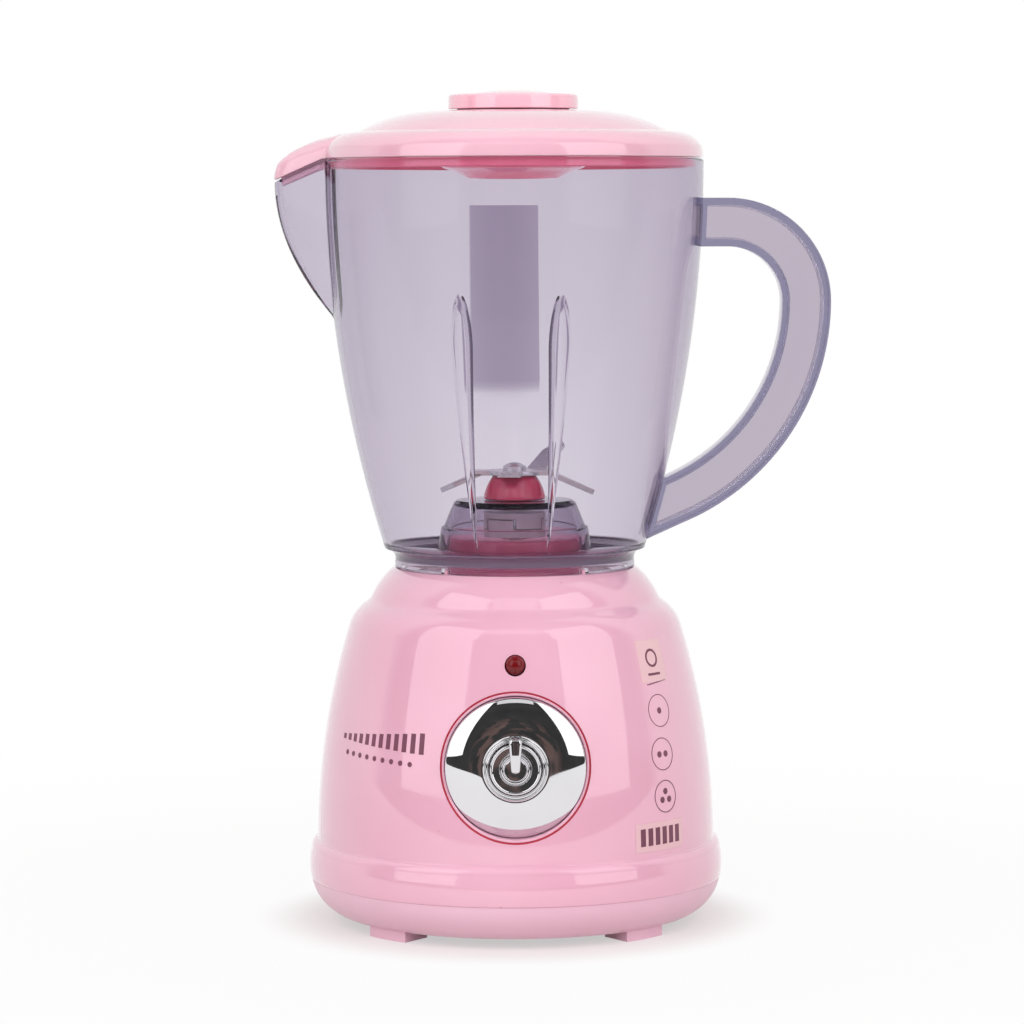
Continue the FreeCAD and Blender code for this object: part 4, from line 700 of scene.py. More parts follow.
jug = {"foot": 92.2, "floorUnder": 94.2, "floor": 96.2, "skirtRadius": 31.1, "wall": 1.6,
       "heel": (33.75, 97.0), "rim": (49.0, 197.0), "bow": 3.9, "bossFoot": 20.3,
       "bossShoulder": (18.93, 102.4), "boss": (15.0, 109.3), "hollowFoot": 18.3,
       "hollowShoulder": (17.33, 100.1), "hollowTop": 107.5, "bore": 3.18, "wallStart": 98.2,
       "spoutReach": 61.6, "spoutHalf": 9.5, "spoutNose": 3.5, "spoutDepth": 35.0, "rimDrop": 5.5,
       "spoutRoot": 4.0, "fluteAngle": 15.8, "fluteTurn": -1.1, "flute": (2.8, 97.2, 163.5),
       "groove": (1.5, 105.2, 160.4), "fluteDepth": 2.0, "padHalf": 9.2, "padTop": 185.4,
       "padFoot": 133.8, "padDepth": 4.8, "padTurn": 3.4, "notchHalf": 1.0, "notchTop": 93.6}
zoneHalf = {"spout": 16, "flute": 7.4, "pad": 17}  # degrees on each side of a feature for its own columns
leastCrease = math.radians(1.2)
sharpest = 0.9  # least radius of a nose


def jugWall(height):
    return bowedWall(height, jug["heel"], jug["rim"], jug["bow"])


def noseRay(angle, root, half, tip, nose):
    # how far a V with a rounded nose reaches, seen from the axis, at an angle off its middle
    angle = abs(angle)
    along = tip - nose - root
    if along <= 0 or angle >= math.atan2(half, root):
        return 0.0
    turn = math.atan2(half, along) + math.acos(min(1.0, nose / math.hypot(along, half)))
    touch = (tip - nose - nose * math.cos(turn), nose * math.sin(turn))
    if angle < math.atan2(touch[1], touch[0]):
        centre = tip - nose
        return centre * math.cos(angle) + math.sqrt(max(nose ** 2 - (centre * math.sin(angle)) ** 2, 0.0))
    way = (touch[0] - root, touch[1] - half)
    return (root * way[1] - half * way[0]) / (math.cos(angle) * way[1] - math.sin(angle) * way[0])


def spoutReach(angle, height, inset):
    tipLevel = jug["rim"][1] - jug["rimDrop"]
    share = max(tipLevel - height, 0) / jug["spoutDepth"]
    foot = jugWall(tipLevel - jug["spoutDepth"])
    tip = jug["spoutReach"] - (jug["spoutReach"] - foot) * share ** 2 - inset
    return noseRay(angle, jugWall(height) - jug["spoutRoot"], jug["spoutHalf"] - inset, tip,
                   max(jug["spoutNose"] - inset, sharpest))


def creaseAngle(reach, wallRadius, widest):
    # the angle off the spout's middle where its side meets the round wall
    if reach(0.0) <= wallRadius:
        return leastCrease
    low, high = 0.0, widest
    for _ in range(30):
        middle = (low + high) / 2
        if reach(middle) > wallRadius:
            low = middle
        else:
            high = middle
    return max(low, leastCrease)


def rimFall(x):
    # the rim, and the lid over it, fall along the spout
    return jug["rimDrop"] * max(0.0, x - jug["rim"][0]) / (jug["spoutReach"] - jug["rim"][0])


def teardropHalf(height, half, foot, top):
    # half width of a flute at a height: a point at its foot, round at its top
    widest = top - (top - foot) * 0.2
    if height <= foot or height >= top:
        return 0.0
    if height < widest:
        share = (height - foot) / (widest - foot)
        return half * (share + 0.25 * share * (1 - share))
    return half * math.sqrt(max(0.0, 1 - ((height - widest) / (top - widest)) ** 2))


def smooth(value):
    value = min(1.0, max(0.0, value))
    return value * value * (3 - 2 * value)


def evenAngle(column):
    kind, middle, position = column
    return position if kind == "plain" else middle + math.radians(zoneHalf[kind]) / 2 * position


def featureColumns(kind, middle):
    # positions run from -2 to 2, and lie close together near the feature's edge at 1
    positions = (0, 0.16, 0.32, 0.48, 0.62, 0.74, 0.84, 0.92, 0.97, 1, 1.06, 1.15, 1.3, 1.5, 1.75, 2.0)
    return ([(kind, middle, -position) for position in positions[1:]]
            + [(kind, middle, position) for position in positions])


def jugColumns():
    # each column is (kind, middle direction, position); plain ones are finely spaced between the features
    front = 270 + jug["fluteTurn"]
    features = (("spout", 180), ("flute", front - jug["fluteAngle"]), ("flute", front + jug["fluteAngle"]),
                ("pad", 90 + jug["padTurn"]))
    notchHalf = math.degrees(jug["notchHalf"] / jug["skirtRadius"])
    taken = [(middle - zoneHalf[kind], middle + zoneHalf[kind]) for kind, middle in features]
    columns = []
    for degrees in [lug % 360 for lug in lugDegrees]:
        taken.append((degrees - 2.2 * notchHalf, degrees + 2.2 * notchHalf))
        for offset in (-1.04, -1, -0.5, 0, 0.5, 1, 1.04):
            columns.append(("plain", 0.0, math.radians(degrees + offset * notchHalf)))
    step = 2.5
    for index in range(int(360 / step)):
        degrees = index * step
        if not any(low - 0.3 < degrees < high + 0.3 for low, high in taken):
            columns.append(("plain", 0.0, math.radians(degrees)))
    for kind, middle in features:
        columns += featureColumns(kind, math.radians(middle))
    return sorted(columns, key=lambda column: evenAngle(column) % (2 * math.pi))


def spread(position, half, kind):
    # position 1 is at half, position 2 at the edge of the zone
    size = abs(position)
    angle = half * size if size <= 1 else half + (math.radians(zoneHalf[kind]) - half) * (size - 1)
    return math.copysign(angle, position)


def jugPoint(column, height, inner):
    # a point of the jug's outer or inner wall at about this height
    kind, middle, position = column
    inset = jug["wall"] if inner else 0.0
    radius = jugWall(height) - inset
    size = abs(position)
    if kind == "plain":
        middle, angle = 0.0, position
    elif kind == "spout":
        def reach(angle):
            return spoutReach(angle, height, inset)
        angle = spread(position, creaseAngle(reach, radius, math.atan2(jug["spoutHalf"], radius - 4)), kind)
        if size < 1:
            radius = max(radius, reach(angle))
        elif size == 1 and reach(0.0) > radius:
            radius = max(radius, reach(angle * 0.9999))
    elif kind == "flute":
        half, foot, top = jug["flute"] if inner else jug["groove"]
        angle = spread(position, max(teardropHalf(height, half, foot, top), 0.35) / radius, kind)
        if size < 1:
            fade = smooth((top - height) / 2.5) * smooth((height - foot) / 14)
            radius -= jug["fluteDepth"] * fade * max(0.0, 1 - size ** 2.6)
    else:
        angle = spread(position, math.asin(jug["padHalf"] / radius), kind)
        if inner and size <= 1 and height <= jug["padTop"] + tiny:
            # the pad has a flat face inside
            side = jug["padHalf"] * position
            face = radius - jug["padDepth"] * smooth((height - jug["padFoot"]) / 5)
            if math.hypot(side, face) < radius:
                radius, angle = math.hypot(side, face), math.atan2(side, face)
    return polarPoint(radius, middle + angle, height)


def rimHeight(column, inner):
    level = jug["rim"][1]
    for _ in range(8):
        level = jug["rim"][1] - rimFall(-jugPoint(column, level, inner)[0])
    return level


def wallLevels():
    # every 2 mm, closer at the flutes' feet and tops, at the pad's top and at the rim
    levels = [jug["heel"][1] + 2.0 * i for i in range(50)] + [98.2, 104.2, 106.2, 153.5, 156.0, 157.6]
    levels += [158.2, 159.4, 160.1, 161.2, 162.2, 162.8, 163.2, 163.6, 164.2, 184.6, 185.38, 185.42, 186.4]
    return sorted(levels + [187.9, 189.4, 190.6, 191.6, 192.6, 193.6, 195.8, 196.4])


def makeJug():
    j = jug
    bore, skirt, foot, floor, under = j["bore"], j["skirtRadius"], j["foot"], j["floor"], j["floorUnder"]
    (boss, bossTop), (shoulder, shoulderLevel) = j["boss"], j["bossShoulder"]
    wall, wallStart, hollowTop, rimLevel = j["wall"], j["wallStart"], j["hollowTop"], j["rim"][1]
    insideRings = outline([
        (bore, hollowTop), (bore, bossTop), (boss, bossTop, 0, 0.6), (boss + 0.8, bossTop - 0.6, 0.1, 0.6),
        (shoulder - 0.6, shoulderLevel + 0.2, 0, 0.3), (shoulder, shoulderLevel, 0, 0.25),
        (j["bossFoot"], floor, 0, 0.7), (skirt - 0.8, floor, 0, 1.4),
        (jugWall(wallStart) - wall, wallStart)], fineness=0.8)[:-1]
    heelRings = outline([
        j["heel"], (skirt, under - 0.9, 1.1, 0.3), (skirt, foot, 0, 0.3), (skirt - wall, foot, 0, 0.3),
        (skirt - wall, under, 0, 0.3), (j["hollowFoot"], under, 0, 0.4), (*j["hollowShoulder"], 0, 0.2),
        (boss - 0.8, hollowTop, 0, 0.5), (bore, hollowTop)], fineness=0.8)[1:-1]
    notchHalf = j["notchHalf"] / skirt
    dropFrom = 185  # the rows above this are squeezed together where the rim falls
    columns, points = jugColumns(), []
    for column in columns:
        angle = evenAngle(column)
        line = [polarPoint(radius, angle, height) for radius, height in insideRings]
        for inner in (True, False):
            rim, run = rimHeight(column, inner), []
            for level in wallLevels():
                if inner and level < wallStart:
                    continue
                if rim < rimLevel - 0.01 and level > dropFrom:
                    level = dropFrom + (level - dropFrom) * (rim - dropFrom) / (rimLevel - dropFrom)
                run.append(jugPoint(column, min(level, rim - 0.5), inner))
            x, y, _ = jugPoint(column, rim, inner)
            length = math.hypot(x, y)
            for inward, down in ((0.04, 0.3), (0.14, 0.12), (0.32, 0.0)):
                share = (length + (inward if inner else -inward)) / length
                run.append((x * share, y * share, rim - down))
            line += run if inner else run[::-1]
        offsets = [(angle - math.radians(lug) + math.pi) % (2 * math.pi) - math.pi for lug in lugDegrees]
        inNotch = column[0] == "plain" and min(abs(offset) for offset in offsets) < notchHalf * 1.01
        for radius, height in heelRings:
            if inNotch and radius > skirt - wall - 0.01:
                height = max(height, j["notchTop"])
            line.append(polarPoint(radius, angle, height))
        points += line
    faces = ringFaces(len(columns), len(line))
    addPiece("jugWalls", points, faces, "jug", "clear_plastic", "jug_body", sharp=32)
    print("jug made:", len(columns), "columns of", len(line))


makeJug()

# the handle is an H section along the band's middle line, with a foot at each end on the jug's wall
handle = {"top": 180.8, "start": 44.0, "run": 55.0, "topRadius": 20.3, "backRadius": 55.5, "backTurn": 66.0,
          "tail": 16.5, "band": 12.5, "width": 12.0, "flange": 1.9, "web": 2.6, "pad": 1.2, "gap": 0.05}


def handleLine():
    # middle points, each with the direction outwards from the band's curve
    h = handle
    line = [((h["start"] + (h["run"] - h["start"]) * i / 6, h["top"]), (0.0, 1.0)) for i in range(7)]
    turn = math.radians(h["backTurn"])
    topArc = [math.pi / 2 * (1 - i / 24) for i in range(1, 25)]
    backArc = [-turn * i / 32 for i in range(1, 33)]
    x, z = h["run"], h["top"] - h["topRadius"]
    for radius, angles in ((h["topRadius"], topArc), (h["backRadius"], backArc)):
        for angle in angles:
            out = (math.cos(angle), math.sin(angle))
            line.append(((x + radius * out[0], z + radius * out[1]), out))
        x += h["topRadius"] - h["backRadius"]
    x, z = line[-1][0]
    for i in range(1, 9):
        run = h["tail"] * i / 8
        line.append(((x - run * math.sin(turn), z - run * math.cos(turn)), out))
    return line


def sectionPoints():
    # the H section as (outwards, across), its corners rounded
    band, width, web = handle["band"] / 2, handle["width"] / 2, handle["web"] / 2
    inner = band - handle["flange"]
    top = outline([(0.0, web), (inner, web, 0, 0.5), (inner, width, 0, 0.35), (band, width, 0, 0.5),
                   (band, 0.0)], fineness=0.6)
    around = top + [(out, -across) for out, across in top[-2::-1]]
    around += [(-out, -across) for out, across in top[1:]]
    return around + [(-out, across) for out, across in top[-2:0:-1]]


def onWall(point, way, grown):
    # slides a point along a direction until it lies on the jug's wall
    x, y, z = point
    for _ in range(24):
        gap = math.hypot(x, y) - (jugWall(z) + handle["gap"] + grown)
        slope = max(0.3, abs(way[0]) + 0.12 * abs(way[1]))
        x += way[0] * gap / slope
        z += way[1] * gap / slope
    return (x, y, z)


def makeHandle():
    pad, halfBand, halfWidth = handle["pad"], handle["band"] / 2, handle["width"] / 2
    line, section = handleLine(), sectionPoints()
    full = []
    for out, across in section:
        hollow = abs(across) > 1e-9 and abs(out) < halfBand - 0.6
        full.append((out, math.copysign(halfWidth, across) if hollow else across))

    def ringAt(place, shape):
        (x, z), (outX, outZ) = place
        return [(x + out * outX, across, z + out * outZ) for out, across in shape]

    def foot(place, way):
        return [[onWall(point, way, grown) for point in ringAt(place, shape)]
                for shape, grown in ((full, 0.0), (full, pad - 0.3), (full, pad), (section, pad + 0.02))]

    turn = math.radians(handle["backTurn"])
    rings = foot(line[0], (-1.0, 0.0))
    for place in line:
        ring = ringAt(place, section)
        if min(math.hypot(x, y) - jugWall(z) for x, y, z in ring) > pad + 0.6:
            rings.append(ring)
    rings += foot(line[-1], (-math.sin(turn), -math.cos(turn)))[::-1]
    points, faces = tube(rings)
    addPiece("jugHandle", points, faces, "jug", "clear_plastic", "jug_handle", "clearHandle", sharp=36)
    print("handle made:", len(rings), "rings")


makeHandle()

lid = {"edge": 197.3, "radius": 49.0, "flat": (40.2, 204.1), "crown": (24.5, 209.6), "wall": 1.8,
       "tip": 61.8, "nose": 3.5, "half": 9.5, "root": 45.0, "skirtGap": 1.95, "skirtWall": 1.5,
       "skirtFoot": 194.8, "wellRadius": 20.4, "wellFloor": (11.7, 192.1), "wellHole": 9.0,
       "fillerRadius": 14.6}


def lidReach(angle, inset):
    nose = max(lid["nose"] - inset, sharpest)
    return noseRay(angle, lid["root"], lid["half"] - inset, lid["tip"] - inset, nose)


def lidPoint(column, radius, height, inset):
    # ring points beyond the flat are drawn out into the nose, and fall with the jug's rim
    kind, middle, position = column
    if kind == "plain":
        return polarPoint(radius, position, height)
    edge = lid["radius"] - inset
    crease = creaseAngle(lambda angle: lidReach(angle, inset), edge, math.atan2(lid["half"], lid["root"]))
    angle = spread(position, crease, kind)
    reach = max(edge, lidReach(angle, inset)) if abs(position) <= 1 else edge
    start = lid["flat"][0] - inset * 0.4
    if radius > start:
        radius = start + (reach - start) * (radius - start) / (edge - start)
    x = radius * math.cos(angle)
    drop = rimFall(x)
    if inset == 0.0:
        # the nose's back sinks at its root and stays full towards its tip
        high = min(1.0, max(0.0, height - lid["edge"]) / 4.5) * (2 - max(1.0, abs(position)))
        drop += high * (1.2 * smooth((x - 42) / 7) - 0.21 * max(0.0, x - 49))
    return polarPoint(radius, middle + angle, height - drop)


def makeLid():
    m = lid
    (flat, flatLevel), (crown, top), (wellFlat, wellFloor) = m["flat"], m["crown"], m["wellFloor"]
    edge, w, radius, filler, skirtFoot = m["edge"], m["wall"], m["radius"], m["fillerRadius"], m["skirtFoot"]
    well, hole, gap = m["wellRadius"], m["wellHole"], m["skirtGap"]
    skirtInset = gap + m["skirtWall"]
    outer = outline([
        (filler, top - w), (filler, top, 0, 0.4), (crown, top - 0.3, -0.05, 2.5),
        (flat, flatLevel, -0.95, 1.0), (flat + 1.5, flatLevel - 0.1, -0.02, 1.5),
        (radius - 0.4, edge + 3.1, -1.15, 1.6), (radius, edge, -0.1, 0.35), (radius - w, edge)],
        fineness=0.9)[:-1]
    skirtOut, skirtIn = radius - gap, radius - gap - m["skirtWall"]
    under = outline([
        (43.4, flatLevel - w - 0.6), (flat - 0.9, flatLevel - w), (well, top - w - 0.2, 0.8, 0.5),
        (well, edge + 2, 0, 0.6), (well - 1.8, wellFloor + 2.8, 0, 2.4), (wellFlat, wellFloor, 0.4, 1.5),
        (hole, wellFloor, 0, 0.3), (hole, wellFloor + w, 0, 0.3), (wellFlat - 0.4, wellFloor + w, 0, 1.5),
        (well - 1.8 - w, wellFloor + 3.9, -0.4, 1.8), (well - w, edge + 2, 0, 0.6),
        (well - w, top - w, 0, 0.3), (filler + 0.02, top - w)], fineness=0.9)[:-1]
    runs = [(outer, 0.0), ([(radius - w, edge), (radius - w, edge + 1.6)], w),
            ([(skirtOut, edge + 1.6), (skirtOut, skirtFoot + 0.3), (skirtOut - 0.3, skirtFoot)], gap),
            ([(skirtIn + 0.3, skirtFoot), (skirtIn, skirtFoot + 0.3), (skirtIn, edge + 3.2)], skirtInset),
            (under, skirtInset)]
    columns = [("plain", 0.0, math.radians(2.0 * i)) for i in range(180) if abs(2.0 * i - 180) > 16.5]
    columns = sorted(columns + featureColumns("spout", spoutSide), key=evenAngle)
    points = []
    for column in columns:
        line = [lidPoint(column, radius, height, inset) for run, inset in runs for radius, height in run]
        points += line
    faces = ringFaces(len(columns), len(line))
    addPiece("lidShell", points, faces, "lid", "pink_plastic", "lid", "lidPlastic", sharp=34)


fillerCap = {"seat": 209.9, "foot": 203.5, "radius": 16.8, "height": 3.75, "dome": 1.15, "plug": 14.3,
             "wall": 1.5}


def makeFillerCap():
    c = fillerCap
    radius, seat, foot, outer, inner = c["radius"], c["seat"], c["foot"], c["plug"], c["plug"] - c["wall"]
    top = seat + c["height"]
    roof = top - c["wall"] - 0.2
    steps = [(0, top + c["dome"]), (radius - 5.2, top + 0.06, -0.42, 0.6), (radius - 0.1, top, 0, 0.7),
             (radius, seat, 0, 0.3), (outer, seat, 0, 0.2), (outer, foot, 0, 0.3), (inner, foot, 0, 0.3),
             (inner, roof, 0, 0.8), (0, roof)]
    points, faces = lathe(outline(steps, fineness=0.7), 200)
    addPiece("fillerCapShell", points, faces, "cap", "pink_plastic", "filler_cap", "capPlastic", sharp=34)


makeLid()
makeFillerCap()
print("lid and filler cap made")

blade = {"hubFoot": 109.5, "hubTop": 115.7, "hubFootRadius": 8.0, "hubTopRadius": 5.4, "plateTop": 117.0,
         "plateRadius": 7.0, "bend": 8.6, "armWidth": 6.0, "armStart": 1.6, "armBevel": 0.45, "bore": 1.52}
bladeArms = ((0, -24, 20.0), (52, 30, 19.5), (180, -24, 18.6), (262, 6, 15.0))  # direction, tilt and reach


def makeBlade():
    b = blade
    bore, foot, low, high = b["bore"], b["hubFoot"], b["hubTop"], b["plateTop"]
    bend, half, wide, plate = b["bend"], b["armWidth"] / 2, b["hubFootRadius"], b["plateRadius"]
    thick, rootLength = high - low, bend + 0.4
    hub = outline([(bore, foot), (wide, foot, 0, 0.4), (wide - 0.1, foot + 1.0, 0, 0.5),
                   (b["hubTopRadius"], low, 0.35, 0.5), (bore, low)], closed=True, fineness=0.5)
    points, faces = lathe(hub, 96, closed=True)
    addPiece("bladeHub", points, faces, "blade", "red_plastic", "blade_hub")
    disc = outline([(bore, low), (plate, low, 0, 0.3), (plate, high, 0, 0.4), (bore, high)], closed=True)
    arms = []
    for azimuth, tilt, reach in bladeArms:
        length = (reach - bend) / math.cos(math.radians(tilt))
        edge = outline([(0, -half), (length, -half * 0.45, 0, 0.6), (length, half * 0.3, 0.3, 0.8),
                        (length * 0.7, half, 0, 2.0), (0, half)], fineness=0.8)
        arm = bmesh.new()
        under, over = ([arm.verts.new((x, y, level)) for x, y in edge] for level in (low, high))
        arm.faces.new(under[::-1])
        arm.faces.new(over)
        for first in range(len(edge)):
            second = (first + 1) % len(edge)
            arm.faces.new((under[first], under[second], over[second], over[first]))
        tipEdges = [e for e in arm.edges if all(v.co.z > high - 0.01 for v in e.verts)
                    and max(v.co.x for v in e.verts) > 1]
        bmesh.ops.bevel(arm, geom=tipEdges, offset=b["armBevel"], segments=2, affect="EDGES")
        turnAbout(arm, -tilt, "Y", arm.verts, Vector((0, 0, low if tilt < 0 else high)))
        bmesh.ops.translate(arm, vec=(bend, 0, 0), verts=arm.verts)
        root = bmesh.ops.create_cube(arm, size=1.0)["verts"]
        bmesh.ops.scale(arm, vec=(rootLength, b["armWidth"], thick), verts=root)
        bmesh.ops.translate(arm, vec=(rootLength / 2 + b["armStart"], 0, low + thick / 2), verts=root)
        turnAbout(arm, azimuth, "Z", arm.verts)
        arms.append(("UNION", takeMesh(arm)))
    mesh = combined(meshOf(*lathe(disc, 96, closed=True)), arms)
    mesh.transform(Matrix.Scale(mm, 4))
    placePiece("bladeCross", mesh, "blade", "silver_plastic", "blade_cross", sharp=32)


makeBlade()
print("blade made")

# prints on the housing, each a thin film on the wall; a place is (degrees off the front, level)
prints = {"label": (50.0, 70.4), "rule": (50.5, 64.6), "bars": (45.3, 26.9), "scale": (-45.0, 49.6),
          "circles": ((49.3, 58.0), (48.2, 47.2), (48.0, 36.6)), "lift": 0.03, "thickness": 0.05}
dotGroups = (((0, 0),), ((-1.2, 0), (1.2, 0)), ((-1.3, -0.8), (1.3, -0.8), (0, 1.3)))


def wallPlace(u, v, place, lift):
    # u runs to the right and v upwards over the wall
    height = place[1] + v
    angle = frontSide + math.radians(place[0]) + u / housingWall(place[1])
    return polarPoint(housingWall(height) + lift, angle, height)


def film(points, faces, shapes, place, lift=prints["lift"]):
    # adds thin closed films; a shape is a strip of (inner, outer) points, closed or open
    for pairs, closed in shapes:
        rows = 1 + max(1, math.ceil(max(math.dist(inside, outside) for inside, outside in pairs) / 0.7))
        start = len(points)
        for inside, outside in pairs:
            for top in (0, 1):
                for row in range(rows):
                    u, v = toward(inside, outside, row / (rows - 1))
                    points.append(wallPlace(u, v, place, lift + top * prints["thickness"]))
        count, ring = len(pairs), 2 * rows
        loop = list(range(rows)) + list(range(ring - 1, rows - 1, -1))  # once round the strip's section
        for index in range(count if closed else count - 1):
            a, b = start + ring * index, start + ring * ((index + 1) % count)
            for first, second in zip(loop, loop[1:] + loop[:1]):
                faces.append((a + first, b + first, b + second, a + second))
        if not closed:
            for end in (start, start + ring * (count - 1)):
                for row in range(end, end + rows - 1):
                    faces.append((row, row + 1, row + rows + 1, row + rows))


def ringShape(u, v, radius, width):
    turns = [(math.cos(2 * math.pi * step / 48), math.sin(2 * math.pi * step / 48)) for step in range(48)]
    return [((u + (radius - width) * x, v + (radius - width) * y), (u + radius * x, v + radius * y))
            for x, y in turns], True


def dotShape(u, v, radius):
    return ringShape(u, v, radius, radius * 0.98)


def barShape(u0, u1, v0, v1, lean=0.0):
    count = max(2, int((u1 - u0) / 0.8))
    places = [u0 + (u1 - u0) * step / count for step in range(count + 1)]
    return [((u, v0 + lean * (u - u0)), (u, v1 + lean * (u - u0))) for u in places], False


def makePrints():
    p = prints
    above = p["lift"] + p["thickness"]  # on top of a label
    points, faces = [], []
    film(points, faces, [barShape(-4.9, 4.9, -5.2, 5.2)], p["label"])
    film(points, faces, [barShape(-8.6, 8.6, -3.6, 3.6)], p["bars"])
    addPiece("paleLabels", points, faces, "base", "pink_plastic", finish="paleLabel", sharp=30)
    points, faces = [], []
    film(points, faces, [ringShape(0, 0.7, 2.3, 0.6), barShape(-2.3, 2.3, -3.6, -3.0)], p["label"], above)
    film(points, faces, [barShape(-3.9, 3.9, -0.14, 0.14, 0.1)], p["rule"])
    for place, dots in zip(p["circles"], dotGroups):
        film(points, faces, [ringShape(0, 0, 4.1, 0.22)] + [dotShape(u, v, 0.8) for u, v in dots], place)
    bars = [barShape(-7.0 + 2.5 * i, -7.0 + 2.5 * i + 1.6, -2.2, 2.2, 0.04) for i in range(6)]
    film(points, faces, bars, p["bars"], above)
    scale = [barShape(-15.0 + 2.6 * i, -13.6 + 2.6 * i, 0.6 - 0.14 * i, 1.9 + 0.22 * i) for i in range(12)]
    scale += [dotShape(-12.0 + 2.9 * i, -2.6 - 0.12 * i, 0.66) for i in range(9)]
    film(points, faces, scale, p["scale"])
    addPiece("printedMarks", points, faces, "base", "pink_plastic", finish="printInk", sharp=30)


makePrints()
print("prints made")

# metres from here on
studio = {"white": 1.0, "ambient": 0.3, "frontGlow": 0.045, "insideGlow": 0.42,
          "warmGlow": (3.4, 2.3, 2.1, 1), "floorColour": (0.75, 0.65, 0.66), "floorFront": 0.3,
          "floorSize": 4.0, "contact": (0.05, 0.07), "far": (0.07, 0.35)}


def viewRays(make):
    kinds = ("Camera", "Transmission", "Glossy")
    return [make.node("LightPath", out="Is " + kind + " Ray") for kind in kinds]


def makeFloor():
    finish, make, place = startFinish("paleFloor")
    grain = noise(make, place, 140, 4.0) * 0.02
    # the floor's grey is tinted pink: painted light bounced off the toy into its shadow
    shade = make.node("CombineColor", {i: part + grain for i, part in enumerate(studio["floorColour"])})
    painted = make.node("BsdfPrincipled", {"Base Color": shade, "Roughness": 0.7,
                                           "Specular IOR Level": 0.2})
    lit = make.node("Emission", {"Color": (1, 1, 1, 1), "Strength": studio["white"]})
    # looked at, it is white; the object's shadow stays close round its foot
    seen, through, glossy = viewRays(make)
    away = make.node("VectorMath", {0: place}, out="Value", operation="LENGTH")
    fade = 0.52 + 0.42 * away.between(*studio["contact"]) + 0.06 * away.between(*studio["far"])
    looked = (seen + glossy + through).clamped() * fade
    make.result("Material", Surface=make.node("MixShader", {0: looked, 1: painted, 2: lit}))
    mesh = bpy.data.meshes.new("studioFloor")
    size, front = studio["floorSize"], -studio["floorFront"]
    corners = [(-size, front, 0), (size, front, 0), (size, size, 0), (-size, size, 0)]
    mesh.from_pydata(corners, [], [(0, 1, 2, 3)])
    mesh.materials.append(finish)
    floor = bpy.data.objects.new("studioFloor", mesh)
    bpy.context.scene.collection.objects.link(floor)


def makeWorld():
    world = bpy.data.worlds.new("studio")
    bpy.context.scene.world = world
    world.use_nodes = True
    world.node_tree.nodes.clear()
    make = Wire(world.node_tree)
    way = make.node("TexCoord", out="Generated")
    forwards = make.node("SeparateXYZ", {0: way}, out="Y")
    seen, through, glossy = viewRays(make)
    diffused, bounces, passes = (make.node("LightPath", out=name + " Depth")
                                 for name in ("Diffuse", "Ray", "Transmission"))
    # mirrors see a white backdrop behind the object and a dim room with warm patches in front of it
    behind = forwards.between(-0.12, 0.1)
    room = noise(make, way, 9, 3.0).between(0.45, 0.6) * (1 - forwards.between(-0.995, -0.9))
    inside = passes.over(0.5)  # light that bounced about in clear plastic
    dim = studio["frontGlow"] * (0.6 + 0.8 * noise(make, way, 5, 2.0)) + inside * studio["insideGlow"]
    mirror = dim + (1 - dim) * behind
    # the sky is one bounce itself, so light that only went through the jug has one more than its passes
    mirrored = glossy * (bounces - passes).over(1.5)
    direct = (seen + through).clamped() * diffused.under(0.5)
    level = mirrored * mirror + (1 - mirrored) * (direct + (1 - direct) * studio["ambient"])
    tone = (mirrored * room).blend((1, 1, 1, 1), studio["warmGlow"])
    make.result("World", Surface=make.node("Background", {"Color": tone, "Strength": level}))


# the two softboxes lean in over the object; angles are in degrees
lights = {"boxDistance": 1.3, "boxAngle": 51.0, "boxSize": (0.84, 1.36), "boxFoot": 0.06, "boxLean": 20.0,
          "boxRadiance": 1.45, "fillPlace": (0.35, -1.05, 0.9), "fillAim": (0, 0, 0.1), "fillRadiance": 1.62,
          "topRadiance": 0.1, "stripRise": 53.0, "stripRadiance": 0.8, "backRadiance": 1.6}


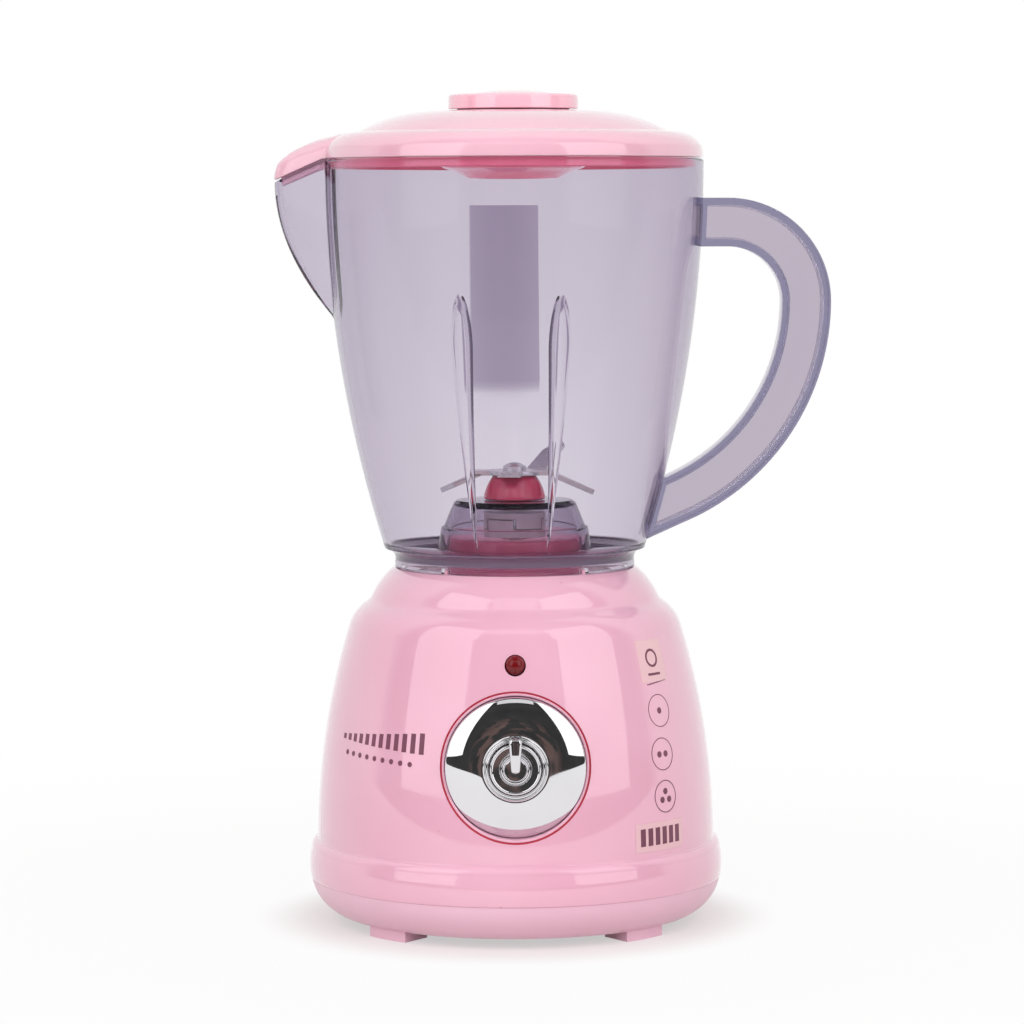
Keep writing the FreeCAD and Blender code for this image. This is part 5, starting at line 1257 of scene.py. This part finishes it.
def areaLight(name, place, turn, size, radiance, hiddenFrom=()):
    light = bpy.data.lights.new(name, "AREA")
    light.shape = "RECTANGLE"
    light.size, light.size_y = size
    light.energy = radiance * math.pi * size[0] * size[1]
    holder = bpy.data.objects.new(name, light)
    holder.location, holder.rotation_euler = place, turn
    for rays in hiddenFrom:
        setattr(holder, "visible_" + rays, False)
    bpy.context.scene.collection.objects.link(holder)


def makeLights():
    s = lights
    lean, rise, upright = math.radians(s["boxLean"]), math.radians(s["stripRise"]), math.radians(90)
    tall = s["boxSize"][1] / 2
    distance, level = s["boxDistance"] - tall * math.sin(lean), s["boxFoot"] + tall * math.cos(lean)
    for name, side in (("leftSoftbox", -1), ("rightSoftbox", 1)):
        angle = math.radians(s["boxAngle"]) * side
        place = (distance * math.sin(angle), -distance * math.cos(angle), level)
        areaLight(name, place, (upright - lean, 0, angle), s["boxSize"], s["boxRadiance"])
        # a high fill, kept out of the reflections
        x, y, z = s["fillPlace"]
        aim = Vector(s["fillAim"]) - Vector((x * side, y, z))
        areaLight(name + "Fill", (x * side, y, z), aim.to_track_quat("-Z", "Y").to_euler(), (1.0, 1.0),
                  s["fillRadiance"], ["glossy"])
    areaLight("topSoftbox", (0, -0.25, 1.3), (math.radians(-12), 0, 0), (0.8, 0.5), s["topRadiance"])
    # a small box above the camera, seen only as a highlight
    areaLight("topStrip", (0, -1.2 * math.cos(rise), 0.05 + 1.2 * math.sin(rise)), (upright - rise, 0, 0),
              (0.6, 0.28), s["stripRadiance"], ["diffuse"])
    # a low fill behind, only for the back's colour
    areaLight("backFill", (0, 1.15, 0.35), (math.radians(-80), 0, 0), (1.4, 0.6), s["backRadiance"],
              ["glossy", "camera", "transmission"])


view = {"place": (-0.0004, -1.0, 0.184), "down": 4.464, "roll": 0.2, "lens": 135.87}


def makeCamera():
    camera = bpy.data.cameras.new("camera")
    camera.lens, camera.sensor_width = view["lens"], 36.0
    holder = bpy.data.objects.new("camera", camera)
    holder.location = view["place"]
    holder.rotation_euler = (math.radians(90 - view["down"]), math.radians(view["roll"]), 0)
    bpy.context.scene.collection.objects.link(holder)
    bpy.context.scene.camera = holder


makeFloor()
makeWorld()
makeLights()
makeCamera()
bpy.context.scene.view_settings.view_transform = "Standard"
print("studio made")
